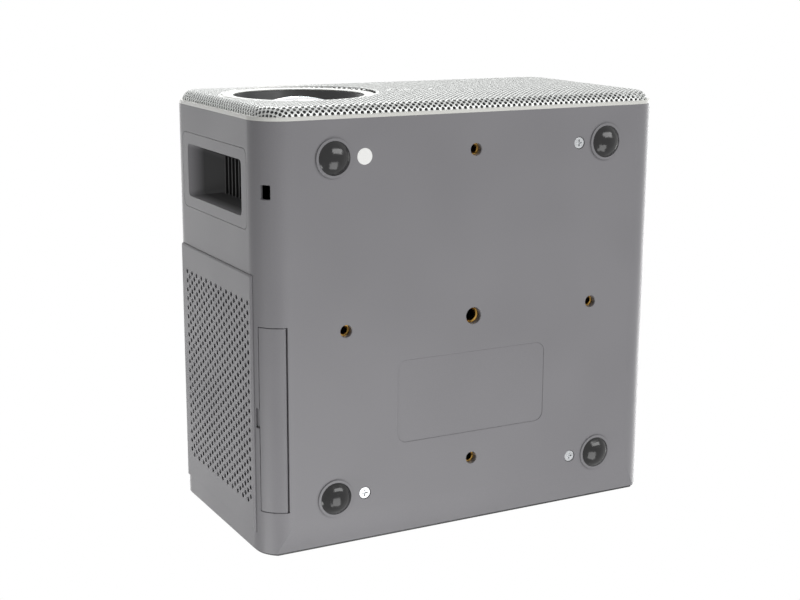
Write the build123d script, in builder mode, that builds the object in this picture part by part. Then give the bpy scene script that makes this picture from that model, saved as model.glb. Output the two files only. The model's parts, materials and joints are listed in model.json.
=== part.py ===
from build123d import *
import os
from math import asin, cos, degrees, radians, sin, sqrt

os.makedirs("parts", exist_ok=True)

# Mini projector in its natural pose: +Z up, front towards -Y, feet on z = 0.
# Lengths are millimetres and angles are degrees.

# Body: a box with large round corners that runs front to back
body_width = 230.0
body_height = 121.5
body_depth = 222.8
corner_radius = 16.0
wall = 2.5
foot_stand = 4.5
cover_height = 11.5
fit_gap = 0.2
seat_gap = 0.3
slide_gap = 0.05
mount_shift = 0.9

# Front: metal mesh on a pale frame
mesh_proud = 6.2
mesh_inset = 1.6
mesh_sheet = 1.0
mesh_round = 6.0
frame_lip = 1.8
skirt_depth = 6.0
skirt_wall = 2.0

# Rear: dark panel behind a rising underside
panel_proud = 1.3
panel_inset = 1.0
panel_rim_depth = 4.5
sweep_run = 17.0
sweep_rise = 2.9

# Lens
lens_left = 68.0
ring_radius = 39.0
ring_opening = 33.3
ring_recess = 1.2
ring_dish = 0.3
ring_edge = 0.7
barrel_radius = 27.0
barrel_wall = 2.0
barrel_length = 54.0
tube_wall = 2.3
glass_radius = 25.0
glass_curve = 51.0
glass_recess = 2.6
glass_edge = 3.0
focus_in = 0.003
focus_out = 0.002

# Small windows in the mesh
window_height = 48.0
autofocus_left = 20.0
autofocus_radius = 2.8
ranging_left = 6.0
ranging_length = 13.0
ranging_width = 4.0

# Raised side panels with their hole pattern
panel_thick = 2.1
panel_raise = 0.9
panel_front = -29.5
panel_rear = 100.5
panel_border = 13.0
panel_chamfer = 0.7
hole_radius = 1.25
hole_rows = 21
hole_columns = 25
hole_row_pitch = 4.94
hole_column_pitch = 3.47
hole_field_y = 35.1
hole_field_rise = 58.7
window_border = 3.2

# Air outlet beside the lens
outlet_front = -89.4
outlet_rear = -50.7
outlet_margin = 17.5
outlet_corner = 4.0
outlet_opening_width = 27.3
outlet_opening_height = 73.0
outlet_mouth_width = 18.0
outlet_mouth_height = 45.0
outlet_mouth_drop = 11.0
outlet_depth = 12.0
outlet_skin = 1.6
louvre_count = 10
louvre_pitch = 4.6
louvre_thick = 1.2
louvre_depth = 4.0

# Filter door in the lower left corner
door_front = -4.7
door_rear = 88.3
door_thick = 2.0
door_seam = 0.36
door_hinge_seam = 0.25
door_hinge_angle = 18.6
door_free_angle = 65.3
knuckle_radius = 1.25
hinge_pin_radius = 0.6
hinge_pin_length = 7.0
notch_middle = 41.0
notch_length = 10.0
notch_depth = 1.2
latch_depth = 2.2

# Dust filter behind the left panel
filter_thick = 4.0
filter_offset = 1.5
filter_low = 12.0
filter_top = 18.0
filter_border = 4.0
rail_wall = 1.2

# Underside
foot_spacing_x = 156.7
foot_spacing_y = 170.0
foot_radius = 8.2
foot_ring_radius = 9.6
foot_ring_height = 0.8
foot_sink = 1.0
screw_spacing_x = 124.0
screw_radius = 1.45
screw_head_radius = 2.9
screw_head_height = 1.8
screw_recess = 0.4
boss_wall = 3.4
seal_radius = 4.0
seal_thick = 0.15
tripod_radius = 3.2
tripod_insert_radius = 4.3
ceiling_radius = 2.05
ceiling_insert_radius = 3.1
ceiling_side = 72.15
ceiling_front = -85.0
ceiling_rear = 76.1
insert_length = 4.8
insert_recess = 3.0
insert_chamfer = 0.3
label_width = 87.0
label_length = 43.0
label_radius = 5.0
label_depth = 0.3
label_y = 40.2
lock_y = -70.2
lock_length = 7.0
lock_width = 5.0
lock_angle = 47.0

# Chassis tray
tray_rise = 4.0
tray_thick = 1.5
tray_side_gap = 12.5
tray_front_gap = 8.0
tray_rear_gap = 6.7

# Keys in the top cover
key_pitch = 24.0
key_y = 70.0
key_radius = 4.5
power_key_radius = 6.0
key_proud = 0.4
key_flange = 1.0
key_travel = 0.8
board_thick = 1.6
switch_height = 4.0
key_stem = 4.0

# Light engine: lens leg front to back, lamp leg across
engine_y = 10.0
engine_width = 60.0
engine_height = 50.5
engine_wall = 2.0
engine_front = -42.0
lamp_end = 46.0
mirror_length = 80.0
optic_gap = 0.3
condenser_radius = 22.0
condenser_bulge = 11.0
condenser_edge = 3.0
post_size = 8.0

# Fans and blower
intake_fan_size = 50.0
intake_fan_y = 71.0
outlet_fan_size = 80.0
outlet_fan_y = 20.0
fan_depth = 15.0
fan_rim = 1.5
tab_thick = 1.5
spindle_radius = 1.5
blade_count = 7
blower_radius = 28.0
blower_height = 20.0
blower_x = -66.0
blower_y = -58.0
blower_blades = 26

# Boards and sockets
standoff_height = 6.5
standoff_radius = 2.5
main_board_width = 106.0
main_board_length = 62.5
supply_board_width = 76.0
supply_board_length = 40.0
inlet_x = 70.0
inlet_rise = 30.0

# Speakers
speaker_radius = 22.5
speaker_first = 30.0
speaker_pitch = 52.0
speaker_depth = 14.0

# Planes and levels that follow from the body
half_width = body_width / 2
mesh_face = -body_depth / 2
frame_face = mesh_face + mesh_proud
shell_front = frame_face + frame_lip
panel_face = body_depth / 2
shell_rear = panel_face - panel_proud
underside = foot_stand
top = underside + body_height
middle = underside + body_height / 2
floor_level = underside + wall
ceiling_level = top - wall
inner_side = half_width - wall
seam_level = top - cover_height
corner_x = -half_width + corner_radius
corner_z = underside + corner_radius
sweep_start = shell_rear - sweep_run
tray_level = floor_level + tray_rise
tray_top = tray_level + tray_thick
board_level = tray_top + standoff_height
board_top = board_level + board_thick
lens_x = -lens_left
feet = [
    (mount_shift + sx * foot_spacing_x / 2, sy * foot_spacing_y / 2)
    for sx in (-1, 1)
    for sy in (-1, 1)
]
screws = [
    (mount_shift + sx * screw_spacing_x / 2, sy * foot_spacing_y / 2)
    for sx in (-1, 1)
    for sy in (-1, 1)
]
ceiling_holes = [
    (mount_shift, ceiling_front),
    (mount_shift, ceiling_rear),
    (mount_shift - ceiling_side, 0),
    (mount_shift + ceiling_side, 0),
]


def across(y):
    """Plane at y whose sketches read (x, z); a positive extrude runs forwards."""
    return Plane.XZ.offset(-y)


def beside(x):
    """Plane at x whose sketches read (y, z); a positive extrude runs to +X."""
    return Plane.YZ.offset(x)


def level(z):
    """Plane at z whose sketches read (x, y); a positive extrude runs up."""
    return Plane.XY.offset(z)


def block(xs, ys, zs, mode=Mode.ADD):
    """Box between pairs of x, y and z."""
    centre = [(span[0] + span[1]) / 2 for span in (xs, ys, zs)]
    size = [abs(span[1] - span[0]) for span in (xs, ys, zs)]
    with Locations(tuple(centre)):
        Box(*size, mode=mode)


def rod(plane, centre, radius, length, mode=Mode.ADD):
    """Cylinder drawn on a plane at a point of it."""
    with BuildSketch(plane) as profile:
        with Locations(centre):
            Circle(radius)
    extrude(profile.sketch, amount=length, mode=mode)


def body_section(inset, mode=Mode.ADD):
    """The body's outline, drawn inward by inset."""
    with Locations((0, middle)):
        RectangleRounded(
            body_width - 2 * inset,
            body_height - 2 * inset,
            corner_radius - inset,
            mode=mode,
        )


def cut_rear_sweep(inset):
    """Take away what lies below the underside where it rises towards the rear."""
    radius = sweep_radius - inset
    reach = asin((panel_face + wall - sweep_start) / radius)
    with BuildSketch(beside(-half_width - wall)) as profile:
        with BuildLine():
            sweep = CenterArc(
                (sweep_start, underside + sweep_radius), radius, -90, degrees(reach)
            )
            Polyline(
                sweep @ 1,
                ((sweep @ 1).X, underside - wall),
                (sweep_start, underside - wall),
                sweep @ 0,
            )
        make_face()
    extrude(profile.sketch, amount=body_width + 2 * wall, mode=Mode.SUBTRACT)


def body_core(inset, front, rear):
    """Solid that fills the body's outline, drawn inward by inset, from front to rear."""
    with BuildPart() as core:
        with BuildSketch(across(rear)):
            body_section(inset)
        extrude(amount=rear - front)
        cut_rear_sweep(inset)
    return core.part


def corner_point(radius, angle):
    """Point (x, z) of the lower left corner; the angle runs from straight down to the left."""
    turn = radians(angle)
    return (corner_x - radius * sin(turn), corner_z - radius * cos(turn))


def corner_sector(outer, inner, edge_x, free_angle):
    """Part of the corner's wall between a vertical line at edge_x and a free edge."""
    reach = 2 * corner_radius
    start = (corner_x - edge_x) / sin(radians(free_angle))
    far = corner_point(reach, free_angle)
    low = underside - wall
    with Locations((corner_x, corner_z)):
        Circle(outer)
        Circle(inner, mode=Mode.SUBTRACT)
    with BuildLine() as limits:
        Polyline(
            corner_point(start, free_angle), far, (far[0], low), (edge_x, low), close=True
        )
    make_face(limits.edges(), mode=Mode.INTERSECT)


def sagitta(radius, curve):
    """How far a sphere of radius curve falls back at a distance from its axis."""
    return curve - sqrt(curve**2 - radius**2)


def curve_for(radius, rise):
    """Radius of the sphere whose cap has this radius and rise."""
    return (radius**2 + rise**2) / (2 * rise)


def spun(points, axis_x, axis_z, mode=Mode.ADD):
    """Solid of revolution about a line along Y; points are (radius, y)."""
    with BuildSketch(Plane(origin=(axis_x, 0, axis_z))) as profile:
        with BuildLine():
            Polyline(*points, close=True)
        make_face()
    revolve(profile.sketch, axis=Axis((axis_x, 0, axis_z), (0, 1, 0)), mode=mode)


# Casing

sweep_radius = curve_for(sweep_run, sweep_rise)
body_cavity = body_core(wall, shell_front - wall, shell_rear + wall)
opening_free_angle = door_free_angle + degrees(door_seam / corner_radius)
hinge_x, hinge_z = corner_point(corner_radius - knuckle_radius, door_hinge_angle)
opening_edge = hinge_x + knuckle_radius + door_hinge_seam
panel_low = underside + panel_border
panel_high = top - panel_border
hole_field_z = underside + hole_field_rise
field_half_y = (hole_rows - 0.5) * hole_row_pitch / 2
field_half_z = (hole_columns - 1) * hole_column_pitch / 2
outlet_low = underside + outlet_margin
outlet_high = top - outlet_margin
outlet_y = (outlet_front + outlet_rear) / 2
filter_x = -inner_side + filter_offset
filter_front = door_front + slide_gap
filter_rear = door_rear - slide_gap
filter_bottom = underside + filter_low
filter_head = top - filter_top
boss_radius = screw_radius + seat_gap + boss_wall

with BuildPart() as lower_housing:
    with BuildSketch(across(shell_rear)):
        body_section(0)
    extrude(amount=shell_rear - shell_front)
    cut_rear_sweep(0)
    add(body_cavity, mode=Mode.SUBTRACT)
    # open above the seam, where the top cover closes it
    block(
        (-body_width, body_width),
        (mesh_face, panel_face),
        (seam_level, top + wall),
        mode=Mode.SUBTRACT,
    )
    # seats and windows for the two raised side panels
    for side in (-1, 1):
        block(
            (side * (half_width + wall), side * (half_width + panel_raise - panel_thick)),
            (panel_front - fit_gap, panel_rear + fit_gap),
            (panel_low - fit_gap, panel_high + fit_gap),
            mode=Mode.SUBTRACT,
        )
        block(
            (side * (half_width + wall), side * (inner_side - wall)),
            (
                hole_field_y - field_half_y - window_border,
                hole_field_y + field_half_y + window_border,
            ),
            (
                hole_field_z - field_half_z - window_border,
                hole_field_z + field_half_z + window_border,
            ),
            mode=Mode.SUBTRACT,
        )
    # place for the air outlet
    with BuildSketch(beside(-half_width - wall)):
        with Locations((outlet_y, middle)):
            RectangleRounded(
                outlet_rear - outlet_front + 2 * fit_gap,
                outlet_high - outlet_low + 2 * fit_gap,
                outlet_corner + fit_gap,
            )
    extrude(amount=3 * wall, mode=Mode.SUBTRACT)
    # filter door opening and its fingernail notch
    with BuildSketch(across(door_rear + door_seam)):
        corner_sector(
            corner_radius + wall, corner_radius - 2 * wall, opening_edge, opening_free_angle
        )
    extrude(amount=door_rear - door_front + 2 * door_seam, mode=Mode.SUBTRACT)
    notch_x, notch_z = corner_point(corner_radius, opening_free_angle)
    with Locations((notch_x, notch_middle, notch_z)):
        Box(
            2 * notch_depth,
            notch_length,
            4 * notch_depth,
            rotation=(0, -(90 - opening_free_angle), 0),
            mode=Mode.SUBTRACT,
        )
    # bores for the door's hinge pins, in the walls at both ends of the opening
    for start in (door_rear + hinge_pin_length / 2, door_front + hinge_pin_length / 2):
        rod(
            across(start),
            (hinge_x, hinge_z),
            hinge_pin_radius + slide_gap,
            hinge_pin_length,
            mode=Mode.SUBTRACT,
        )
    # guide rails of the dust filter
    rail_outer = filter_x - fit_gap
    rail_inner = filter_x + filter_thick + fit_gap
    for edge, out in ((filter_front, -1), (filter_rear, 1)):
        block(
            (-inner_side - wall / 2, rail_inner + rail_wall),
            (edge - out * filter_border / 2, edge + out * (fit_gap + rail_wall)),
            (filter_bottom, filter_head + wall),
        )
        block(
            (rail_outer, rail_inner),
            (edge - out * filter_border, edge + out * fit_gap),
            (filter_bottom, filter_head + fit_gap),
            mode=Mode.SUBTRACT,
        )
    # feet rings and their recesses
    with BuildSketch(level(underside - foot_ring_height)):
        with Locations(*feet):
            Circle(foot_ring_radius)
    extrude(amount=foot_ring_height)
    with BuildSketch(level(underside - foot_ring_height)):
        with Locations(*feet):
            Circle(foot_radius + slide_gap)
    extrude(amount=foot_ring_height + foot_sink, mode=Mode.SUBTRACT)
    # screw bosses that carry the tray
    with BuildSketch(level(floor_level)):
        with Locations(*screws):
            Circle(boss_radius)
        with Locations(*ceiling_holes):
            Circle(ceiling_insert_radius + wall)
        with Locations((mount_shift, 0)):
            Circle(tripod_insert_radius + wall)
    extrude(amount=tray_rise)
    with Locations(*[(x, y, underside) for x, y in screws]):
        Cylinder(
            screw_radius + seat_gap,
            wall + tray_rise,
            align=(Align.CENTER, Align.CENTER, Align.MIN),
            mode=Mode.SUBTRACT,
        )
        Cylinder(
            screw_head_radius + seat_gap,
            screw_recess + screw_head_height,
            align=(Align.CENTER, Align.CENTER, Align.MIN),
            mode=Mode.SUBTRACT,
        )
    # shallow seat of the seal over the first screw
    rod(level(underside), screws[0], seal_radius + slide_gap, seal_thick, Mode.SUBTRACT)
    # seats of the brass inserts, with a lead-in at the mouth
    for radius, places in (
        (tripod_insert_radius, [(mount_shift, 0)]),
        (ceiling_insert_radius, ceiling_holes),
    ):
        with Locations(*[(x, y, underside) for x, y in places]):
            Cylinder(
                radius,
                insert_recess + insert_length,
                align=(Align.CENTER, Align.CENTER, Align.MIN),
                mode=Mode.SUBTRACT,
            )
            Cone(
                radius + insert_chamfer,
                radius,
                insert_chamfer,
                align=(Align.CENTER, Align.CENTER, Align.MIN),
                mode=Mode.SUBTRACT,
            )
    # bare recess for a rating label
    with BuildSketch(level(underside)):
        with Locations((mount_shift, label_y)):
            RectangleRounded(label_width, label_length, label_radius)
    extrude(amount=label_depth, mode=Mode.SUBTRACT)
    # cable lock slot in the round corner
    lock_x, lock_z = corner_point(corner_radius + wall, lock_angle)
    turn = radians(lock_angle)
    with BuildSketch(
        Plane(origin=(lock_x, lock_y, lock_z), x_dir=(0, 1, 0), z_dir=(sin(turn), 0, cos(turn)))
    ):
        RectangleRounded(lock_length, lock_width, lock_width / 8)
    extrude(amount=3 * wall, mode=Mode.SUBTRACT)

# Top cover: the upper strip of the same outline, with a lip inside the housing
lip_wall = 1.5
lip_depth = 3.5
lip_rear = shell_rear - panel_rim_depth - seat_gap
lip_front = shell_front + skirt_depth + seat_gap
key_places = [((i - 1.5) * key_pitch, key_y) for i in range(4)]
key_radii = [power_key_radius, key_radius, key_radius, key_radius]
cap_top = top + key_proud
flange_top = ceiling_level - seat_gap
stem_bottom = flange_top - key_flange - key_stem
key_board_top = stem_bottom - key_travel - seat_gap - switch_height
key_board_low = key_board_top - board_thick
key_board_length = 16.0
key_board_width = 3 * key_pitch + 26.0
post_radius = 2.5
key_posts = [
    (sx * (key_board_width / 2 - post_radius), key_y + sy * (key_board_length / 2 - post_radius))
    for sx in (-1, 1)
    for sy in (-1, 1)
]

with BuildPart() as top_cover:
    with BuildSketch(across(shell_rear)):
        body_section(0)
    extrude(amount=shell_rear - shell_front)
    add(body_cavity, mode=Mode.SUBTRACT)
    block(
        (-body_width, body_width),
        (mesh_face, panel_face),
        (underside - wall, seam_level),
        mode=Mode.SUBTRACT,
    )
    for inset, low in ((wall + fit_gap, seam_level - lip_depth), (wall, seam_level)):
        with BuildSketch(across(lip_rear)):
            body_section(inset)
            body_section(wall + fit_gap + lip_wall, mode=Mode.SUBTRACT)
            with Locations((0, (low + seam_level + lip_depth) / 2)):
                Rectangle(body_width, seam_level + lip_depth - low, mode=Mode.INTERSECT)
        extrude(amount=lip_rear - lip_front)
    with BuildSketch(level(key_board_top)):
        with Locations(*key_posts):
            Circle(post_radius)
    extrude(amount=ceiling_level - key_board_top)
    for place, radius in zip(key_places, key_radii):
        rod(level(ceiling_level - wall), place, radius + seat_gap, 3 * wall, mode=Mode.SUBTRACT)

# Pale front frame: rim, baffle and a skirt that enters the housing
speaker_xs = (speaker_first, speaker_first + speaker_pitch)
spigot_radius = ring_radius - 3.2
with BuildPart() as front_frame:
    with BuildSketch(across(shell_front)):
        body_section(0)
        with Locations((lens_x, middle)):
            Circle(spigot_radius + fit_gap, mode=Mode.SUBTRACT)
        with Locations(*[(x, middle) for x in speaker_xs]):
            Circle(speaker_radius - 4, mode=Mode.SUBTRACT)
    extrude(amount=frame_lip)
    with BuildSketch(across(shell_front + skirt_depth)):
        body_section(wall + fit_gap)
        body_section(wall + fit_gap + skirt_wall, mode=Mode.SUBTRACT)
    extrude(amount=skirt_depth)

# Mesh front: a pressed pan with a rounded edge
window_z = underside + window_height
with BuildPart() as front_mesh:
    with BuildSketch(across(frame_face)):
        body_section(mesh_inset)
    extrude(amount=mesh_proud)
    fillet(front_mesh.edges().group_by(Axis.Y)[0], mesh_round)
    with BuildSketch(across(frame_face)):
        body_section(mesh_inset + mesh_sheet)
    extrude(amount=mesh_proud - mesh_round, mode=Mode.SUBTRACT)
    with BuildSketch(across(frame_face - mesh_proud + mesh_round)):
        body_section(mesh_inset + mesh_sheet)
    extrude(amount=mesh_round - mesh_sheet, taper=38, mode=Mode.SUBTRACT)
    with BuildSketch(across(frame_face + wall)):
        with Locations((lens_x, middle)):
            Circle(ring_radius + seat_gap)
        with Locations((-autofocus_left, window_z)):
            Circle(autofocus_radius + fit_gap)
        with Locations((-ranging_left, window_z)):
            SlotOverall(ranging_length + 2 * fit_gap, ranging_width + 2 * fit_gap)
    extrude(amount=mesh_proud + 2 * wall, mode=Mode.SUBTRACT)

# Trim ring: a shallow dish that ends in the lens opening
ring_face = mesh_face + ring_recess
shade_front = ring_face + ring_dish + ring_edge
with BuildPart() as lens_trim_ring:
    spun(
        [
            (ring_opening, ring_face + ring_dish),
            (ring_radius - 0.6, ring_face),
            (ring_radius, ring_face + 0.6),
            (ring_radius, frame_face),
            (spigot_radius, frame_face),
            (spigot_radius, shell_front + 2.6),
            (spigot_radius - 1.8, shell_front + 2.6),
            (spigot_radius - 1.8, shade_front - fit_gap),
            (ring_opening, shade_front - fit_gap),
        ],
        lens_x,
        middle,
    )

# Shade: the dark funnel between the ring and the barrel
glass_apex = mesh_face + glass_recess
glass_sag = sagitta(glass_radius, glass_curve)
barrel_front = glass_apex + glass_sag - 0.5
tube_front = barrel_front + 7.2
shade_outer = spigot_radius - 1.8 - fit_gap
with BuildPart() as lens_shade:
    spun(
        [
            (ring_opening - seat_gap, shade_front),
            (shade_outer, shade_front),
            (shade_outer, shade_front + 4.0),
            (barrel_radius + 1.8, tube_front - seat_gap),
            (barrel_radius + 0.6, tube_front - seat_gap),
        ],
        lens_x,
        middle,
    )

with BuildPart() as autofocus_window:
    rod(across(frame_face), (-autofocus_left, window_z), autofocus_radius, mesh_proud - fit_gap)
with BuildPart() as ranging_window:
    with BuildSketch(across(frame_face)):
        with Locations((-ranging_left, window_z)):
            SlotOverall(ranging_length, ranging_width)
    extrude(amount=mesh_proud - fit_gap)

# Sockets in the rear panel
socket_y = panel_face - fit_gap
hdmi_places = (-70.0, -50.0)
hdmi_size = (15.0, 5.6)
usb_places = (-30.0, -14.0)
usb_size = (13.2, 5.8)
jack_places = (1.0, 13.0)
jack_nose_radius = 2.9
jack_body = 7.0
inlet_face = (21.0, 13.0)
inlet_recess = (15.6, 8.6)
inlet_flange = 2.5
inlet_z = underside + inlet_rise
ir_place = (92.0, middle + 30.0)
ir_size = (16.0, 8.0)
vent_count = 24
vent_pitch = 5.0
vent_width = 2.4
vent_height = 34.0
vent_z = middle + 22.0

panel_rim_front = shell_rear - panel_rim_depth
rim_outer = body_core(wall + fit_gap, panel_rim_front, shell_rear)
rim_inner = body_core(wall + fit_gap + skirt_wall, panel_rim_front - wall, shell_rear)
with BuildPart() as rear_panel:
    add(rim_outer)
    add(rim_inner, mode=Mode.SUBTRACT)
    with BuildSketch(across(panel_face)):
        body_section(panel_inset)
    extrude(amount=panel_proud)
    fillet(rear_panel.edges().group_by(Axis.Y)[-1], panel_inset / 2)
    block(
        (-body_width, body_width),
        (shell_rear, panel_face + wall),
        (underside - wall, underside + sweep_rise + panel_inset),
        mode=Mode.SUBTRACT,
    )
    with BuildSketch(across(panel_face + wall)):
        with Locations(*[(x, board_top + hdmi_size[1] / 2) for x in hdmi_places]):
            Rectangle(hdmi_size[0] + 2 * fit_gap, hdmi_size[1] + 2 * fit_gap)
        with Locations(*[(x, board_top + usb_size[1] / 2) for x in usb_places]):
            Rectangle(usb_size[0] + 2 * fit_gap, usb_size[1] + 2 * fit_gap)
        with Locations(*[(x, board_top + jack_body / 2) for x in jack_places]):
            Circle(jack_nose_radius + fit_gap)
        with Locations((inlet_x, inlet_z)):
            RectangleRounded(inlet_face[0] + 2 * fit_gap, inlet_face[1] + 2 * fit_gap, 3.0)
        with Locations(ir_place):
            SlotOverall(ir_size[0] + 2 * fit_gap, ir_size[1] + 2 * fit_gap)
        with Locations((-half_width / 8, vent_z)):
            with GridLocations(vent_pitch, 0, vent_count, 1):
                SlotOverall(vent_height, vent_width, rotation=90)
    extrude(amount=2 * wall + panel_proud, mode=Mode.SUBTRACT)

with BuildPart() as infrared_window:
    with BuildSketch(across(panel_face - fit_gap)):
        with Locations(ir_place):
            SlotOverall(*ir_size)
    extrude(amount=panel_proud)

# Air outlet: a flush plate, a funnel and louvres in one moulding
opening_z = middle - 0.25
mouth_z = opening_z - outlet_mouth_drop
mouth_x = -half_width + outlet_depth
with BuildPart() as exhaust_outlet:
    with BuildSketch(beside(-half_width)):
        with Locations((outlet_y, middle)):
            RectangleRounded(
                outlet_rear - outlet_front, outlet_high - outlet_low, outlet_corner
            )
    extrude(amount=wall)
    with BuildSketch(beside(-inner_side)):
        with Locations((outlet_y, middle)):
            RectangleRounded(
                outlet_rear - outlet_front + 2 * outlet_skin,
                outlet_high - outlet_low + 2 * outlet_skin,
                outlet_corner,
            )
    extrude(amount=outlet_skin)
    with BuildSketch(beside(-inner_side)):
        with Locations((outlet_y, opening_z)):
            RectangleRounded(
                outlet_opening_width + outlet_skin, outlet_opening_height + outlet_skin, 3.0
            )
    with BuildSketch(beside(mouth_x)):
        with Locations((outlet_y, mouth_z)):
            RectangleRounded(
                outlet_mouth_width + 2 * outlet_skin, outlet_mouth_height + 2 * outlet_skin, 3.0
            )
    loft()
    with BuildSketch(beside(mouth_x)):
        with Locations((outlet_y, mouth_z)):
            RectangleRounded(
                outlet_mouth_width + 2 * outlet_skin, outlet_mouth_height + 2 * outlet_skin, 3.0
            )
    extrude(amount=louvre_depth / 2)
    with BuildSketch(beside(-half_width)):
        with Locations((outlet_y, opening_z)):
            RectangleRounded(outlet_opening_width, outlet_opening_height, 2.5)
    with BuildSketch(beside(mouth_x)):
        with Locations((outlet_y, mouth_z)):
            RectangleRounded(outlet_mouth_width, outlet_mouth_height, 2.5)
    loft(mode=Mode.SUBTRACT)
    with BuildSketch(beside(mouth_x)):
        with Locations((outlet_y, mouth_z)):
            RectangleRounded(outlet_mouth_width, outlet_mouth_height, 2.5)
    extrude(amount=louvre_depth, mode=Mode.SUBTRACT)
    with BuildSketch(beside(mouth_x - louvre_depth / 2)):
        with Locations((outlet_y, mouth_z)):
            with GridLocations(0, louvre_pitch, 1, louvre_count):
                Rectangle(outlet_mouth_width + outlet_skin, louvre_thick)
    extrude(amount=louvre_depth)

# Raised side panels: chamfered plates with staggered round holes
hole_places = [
    (
        hole_field_y - field_half_y + row * hole_row_pitch + (column % 2) * hole_row_pitch / 2,
        hole_field_z - field_half_z + column * hole_column_pitch,
    )
    for column in range(hole_columns)
    for row in range(hole_rows)
]
with BuildPart() as intake_grille:
    with BuildSketch(beside(-half_width - panel_raise)):
        with Locations(((panel_front + panel_rear) / 2, (panel_low + panel_high) / 2)):
            Rectangle(panel_rear - panel_front, panel_high - panel_low)
    extrude(amount=panel_thick)
    chamfer(intake_grille.faces().sort_by(Axis.X)[0].edges(), panel_chamfer)
    with BuildSketch(beside(-half_width - panel_raise)):
        with Locations(*hole_places):
            Circle(hole_radius)
    extrude(amount=panel_thick, mode=Mode.SUBTRACT)

with BuildPart() as side_outlet_grille:
    add(mirror(intake_grille.part, about=Plane.YZ, mode=Mode.PRIVATE))

# Filter door: a strip of the corner with a hinge knuckle and a snap tab
with BuildPart() as filter_door:
    with BuildSketch(across(door_rear)):
        corner_sector(corner_radius, corner_radius - door_thick, hinge_x, door_free_angle)
        with Locations((hinge_x, hinge_z)):
            Circle(knuckle_radius)
    extrude(amount=door_rear - door_front)
    with BuildSketch(across(notch_middle + notch_length / 2)):
        with BuildLine():
            tab_root = corner_radius - door_thick + seat_gap
            tab_tip = corner_radius - door_thick - latch_depth
            Polyline(
                corner_point(tab_root, door_free_angle - 5),
                corner_point(tab_root, door_free_angle - 1),
                corner_point(tab_tip, door_free_angle - 1),
                corner_point(tab_tip, door_free_angle - 5),
                close=True,
            )
        make_face()
    extrude(amount=notch_length)
    for start in (door_rear, door_front + hinge_pin_length / 2):
        rod(
            across(start),
            (hinge_x, hinge_z),
            hinge_pin_radius + slide_gap,
            hinge_pin_length / 2,
            mode=Mode.SUBTRACT,
        )

with BuildPart() as door_hinge_pins:
    pin_length = hinge_pin_length - 2 * fit_gap
    for start in (
        door_rear + hinge_pin_length / 2 - fit_gap,
        door_front + hinge_pin_length / 2 - fit_gap,
    ):
        rod(across(start), (hinge_x, hinge_z), hinge_pin_radius, pin_length)

# Dust filter: a frame with crossbars round a foam sheet
filter_y = (filter_front + filter_rear) / 2
filter_z = (filter_bottom + filter_head) / 2
filter_width = filter_rear - filter_front
filter_height = filter_head - filter_bottom
with BuildPart() as filter_frame:
    block(
        (filter_x, filter_x + filter_thick),
        (filter_front, filter_rear),
        (filter_bottom, filter_head),
    )
    block(
        (filter_x - wall, filter_x + filter_thick + wall),
        (filter_front + filter_border, filter_rear - filter_border),
        (filter_bottom + filter_border, filter_head - filter_border),
        mode=Mode.SUBTRACT,
    )
    for share in (1 / 3, 2 / 3):
        bar_y = filter_front + share * filter_width
        block(
            (filter_x + filter_thick - 1.2, filter_x + filter_thick),
            (bar_y - 0.8, bar_y + 0.8),
            (filter_bottom, filter_head),
        )
with BuildPart() as filter_foam:
    block(
        (filter_x, filter_x + filter_thick - 1.2 - fit_gap),
        (filter_front + filter_border + fit_gap, filter_rear - filter_border - fit_gap),
        (filter_bottom + filter_border + fit_gap, filter_head - filter_border - fit_gap),
    )

# Feet: a short cylinder in the ring and a dome below it
with BuildPart() as rubber_feet:
    foot_top = underside + foot_sink
    foot_shoulder = underside - foot_ring_height
    foot_curve = curve_for(foot_radius, foot_shoulder)
    for x, y in feet:
        with BuildSketch(Plane(origin=(x, y, 0), x_dir=(1, 0, 0), z_dir=(0, -1, 0))):
            with BuildLine():
                dome = ThreePointArc(
                    (foot_radius, foot_shoulder),
                    (foot_radius / 2, sagitta(foot_radius / 2, foot_curve)),
                    (0, 0),
                )
                Polyline(dome @ 1, (0, foot_top), (foot_radius, foot_top), dome @ 0)
            make_face()
        revolve(axis=Axis((x, y, 0), (0, 0, 1)))

# Case screws with a cross recess, and the seal over one of them
head_low = underside + screw_recess
head_high = head_low + screw_head_height
cross_length = 3.4
cross_width = 0.8
cross_depth = 0.9
with BuildPart() as case_screws:
    with BuildSketch(level(head_low)):
        with Locations(*screws):
            Circle(screw_head_radius)
    extrude(amount=screw_head_height)
    with BuildSketch(level(head_high)):
        with Locations(*screws):
            Circle(screw_radius)
    extrude(amount=tray_top - head_high)
    with BuildSketch(level(head_low)):
        with Locations(*screws):
            Rectangle(cross_length, cross_width)
            Rectangle(cross_width, cross_length)
    extrude(amount=cross_depth, mode=Mode.SUBTRACT)
with BuildPart() as seal_sticker:
    rod(level(underside), screws[0], seal_radius, seal_thick)

# Brass inserts
insert_low = underside + insert_recess
with BuildPart() as tripod_insert:
    with BuildSketch(level(insert_low)):
        with Locations((mount_shift, 0)):
            Circle(tripod_insert_radius)
            Circle(tripod_radius, mode=Mode.SUBTRACT)
    extrude(amount=insert_length)
with BuildPart() as ceiling_inserts:
    with BuildSketch(level(insert_low)):
        with Locations(*ceiling_holes):
            Circle(ceiling_insert_radius)
            Circle(ceiling_radius, mode=Mode.SUBTRACT)
    extrude(amount=insert_length)

# Chassis

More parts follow.
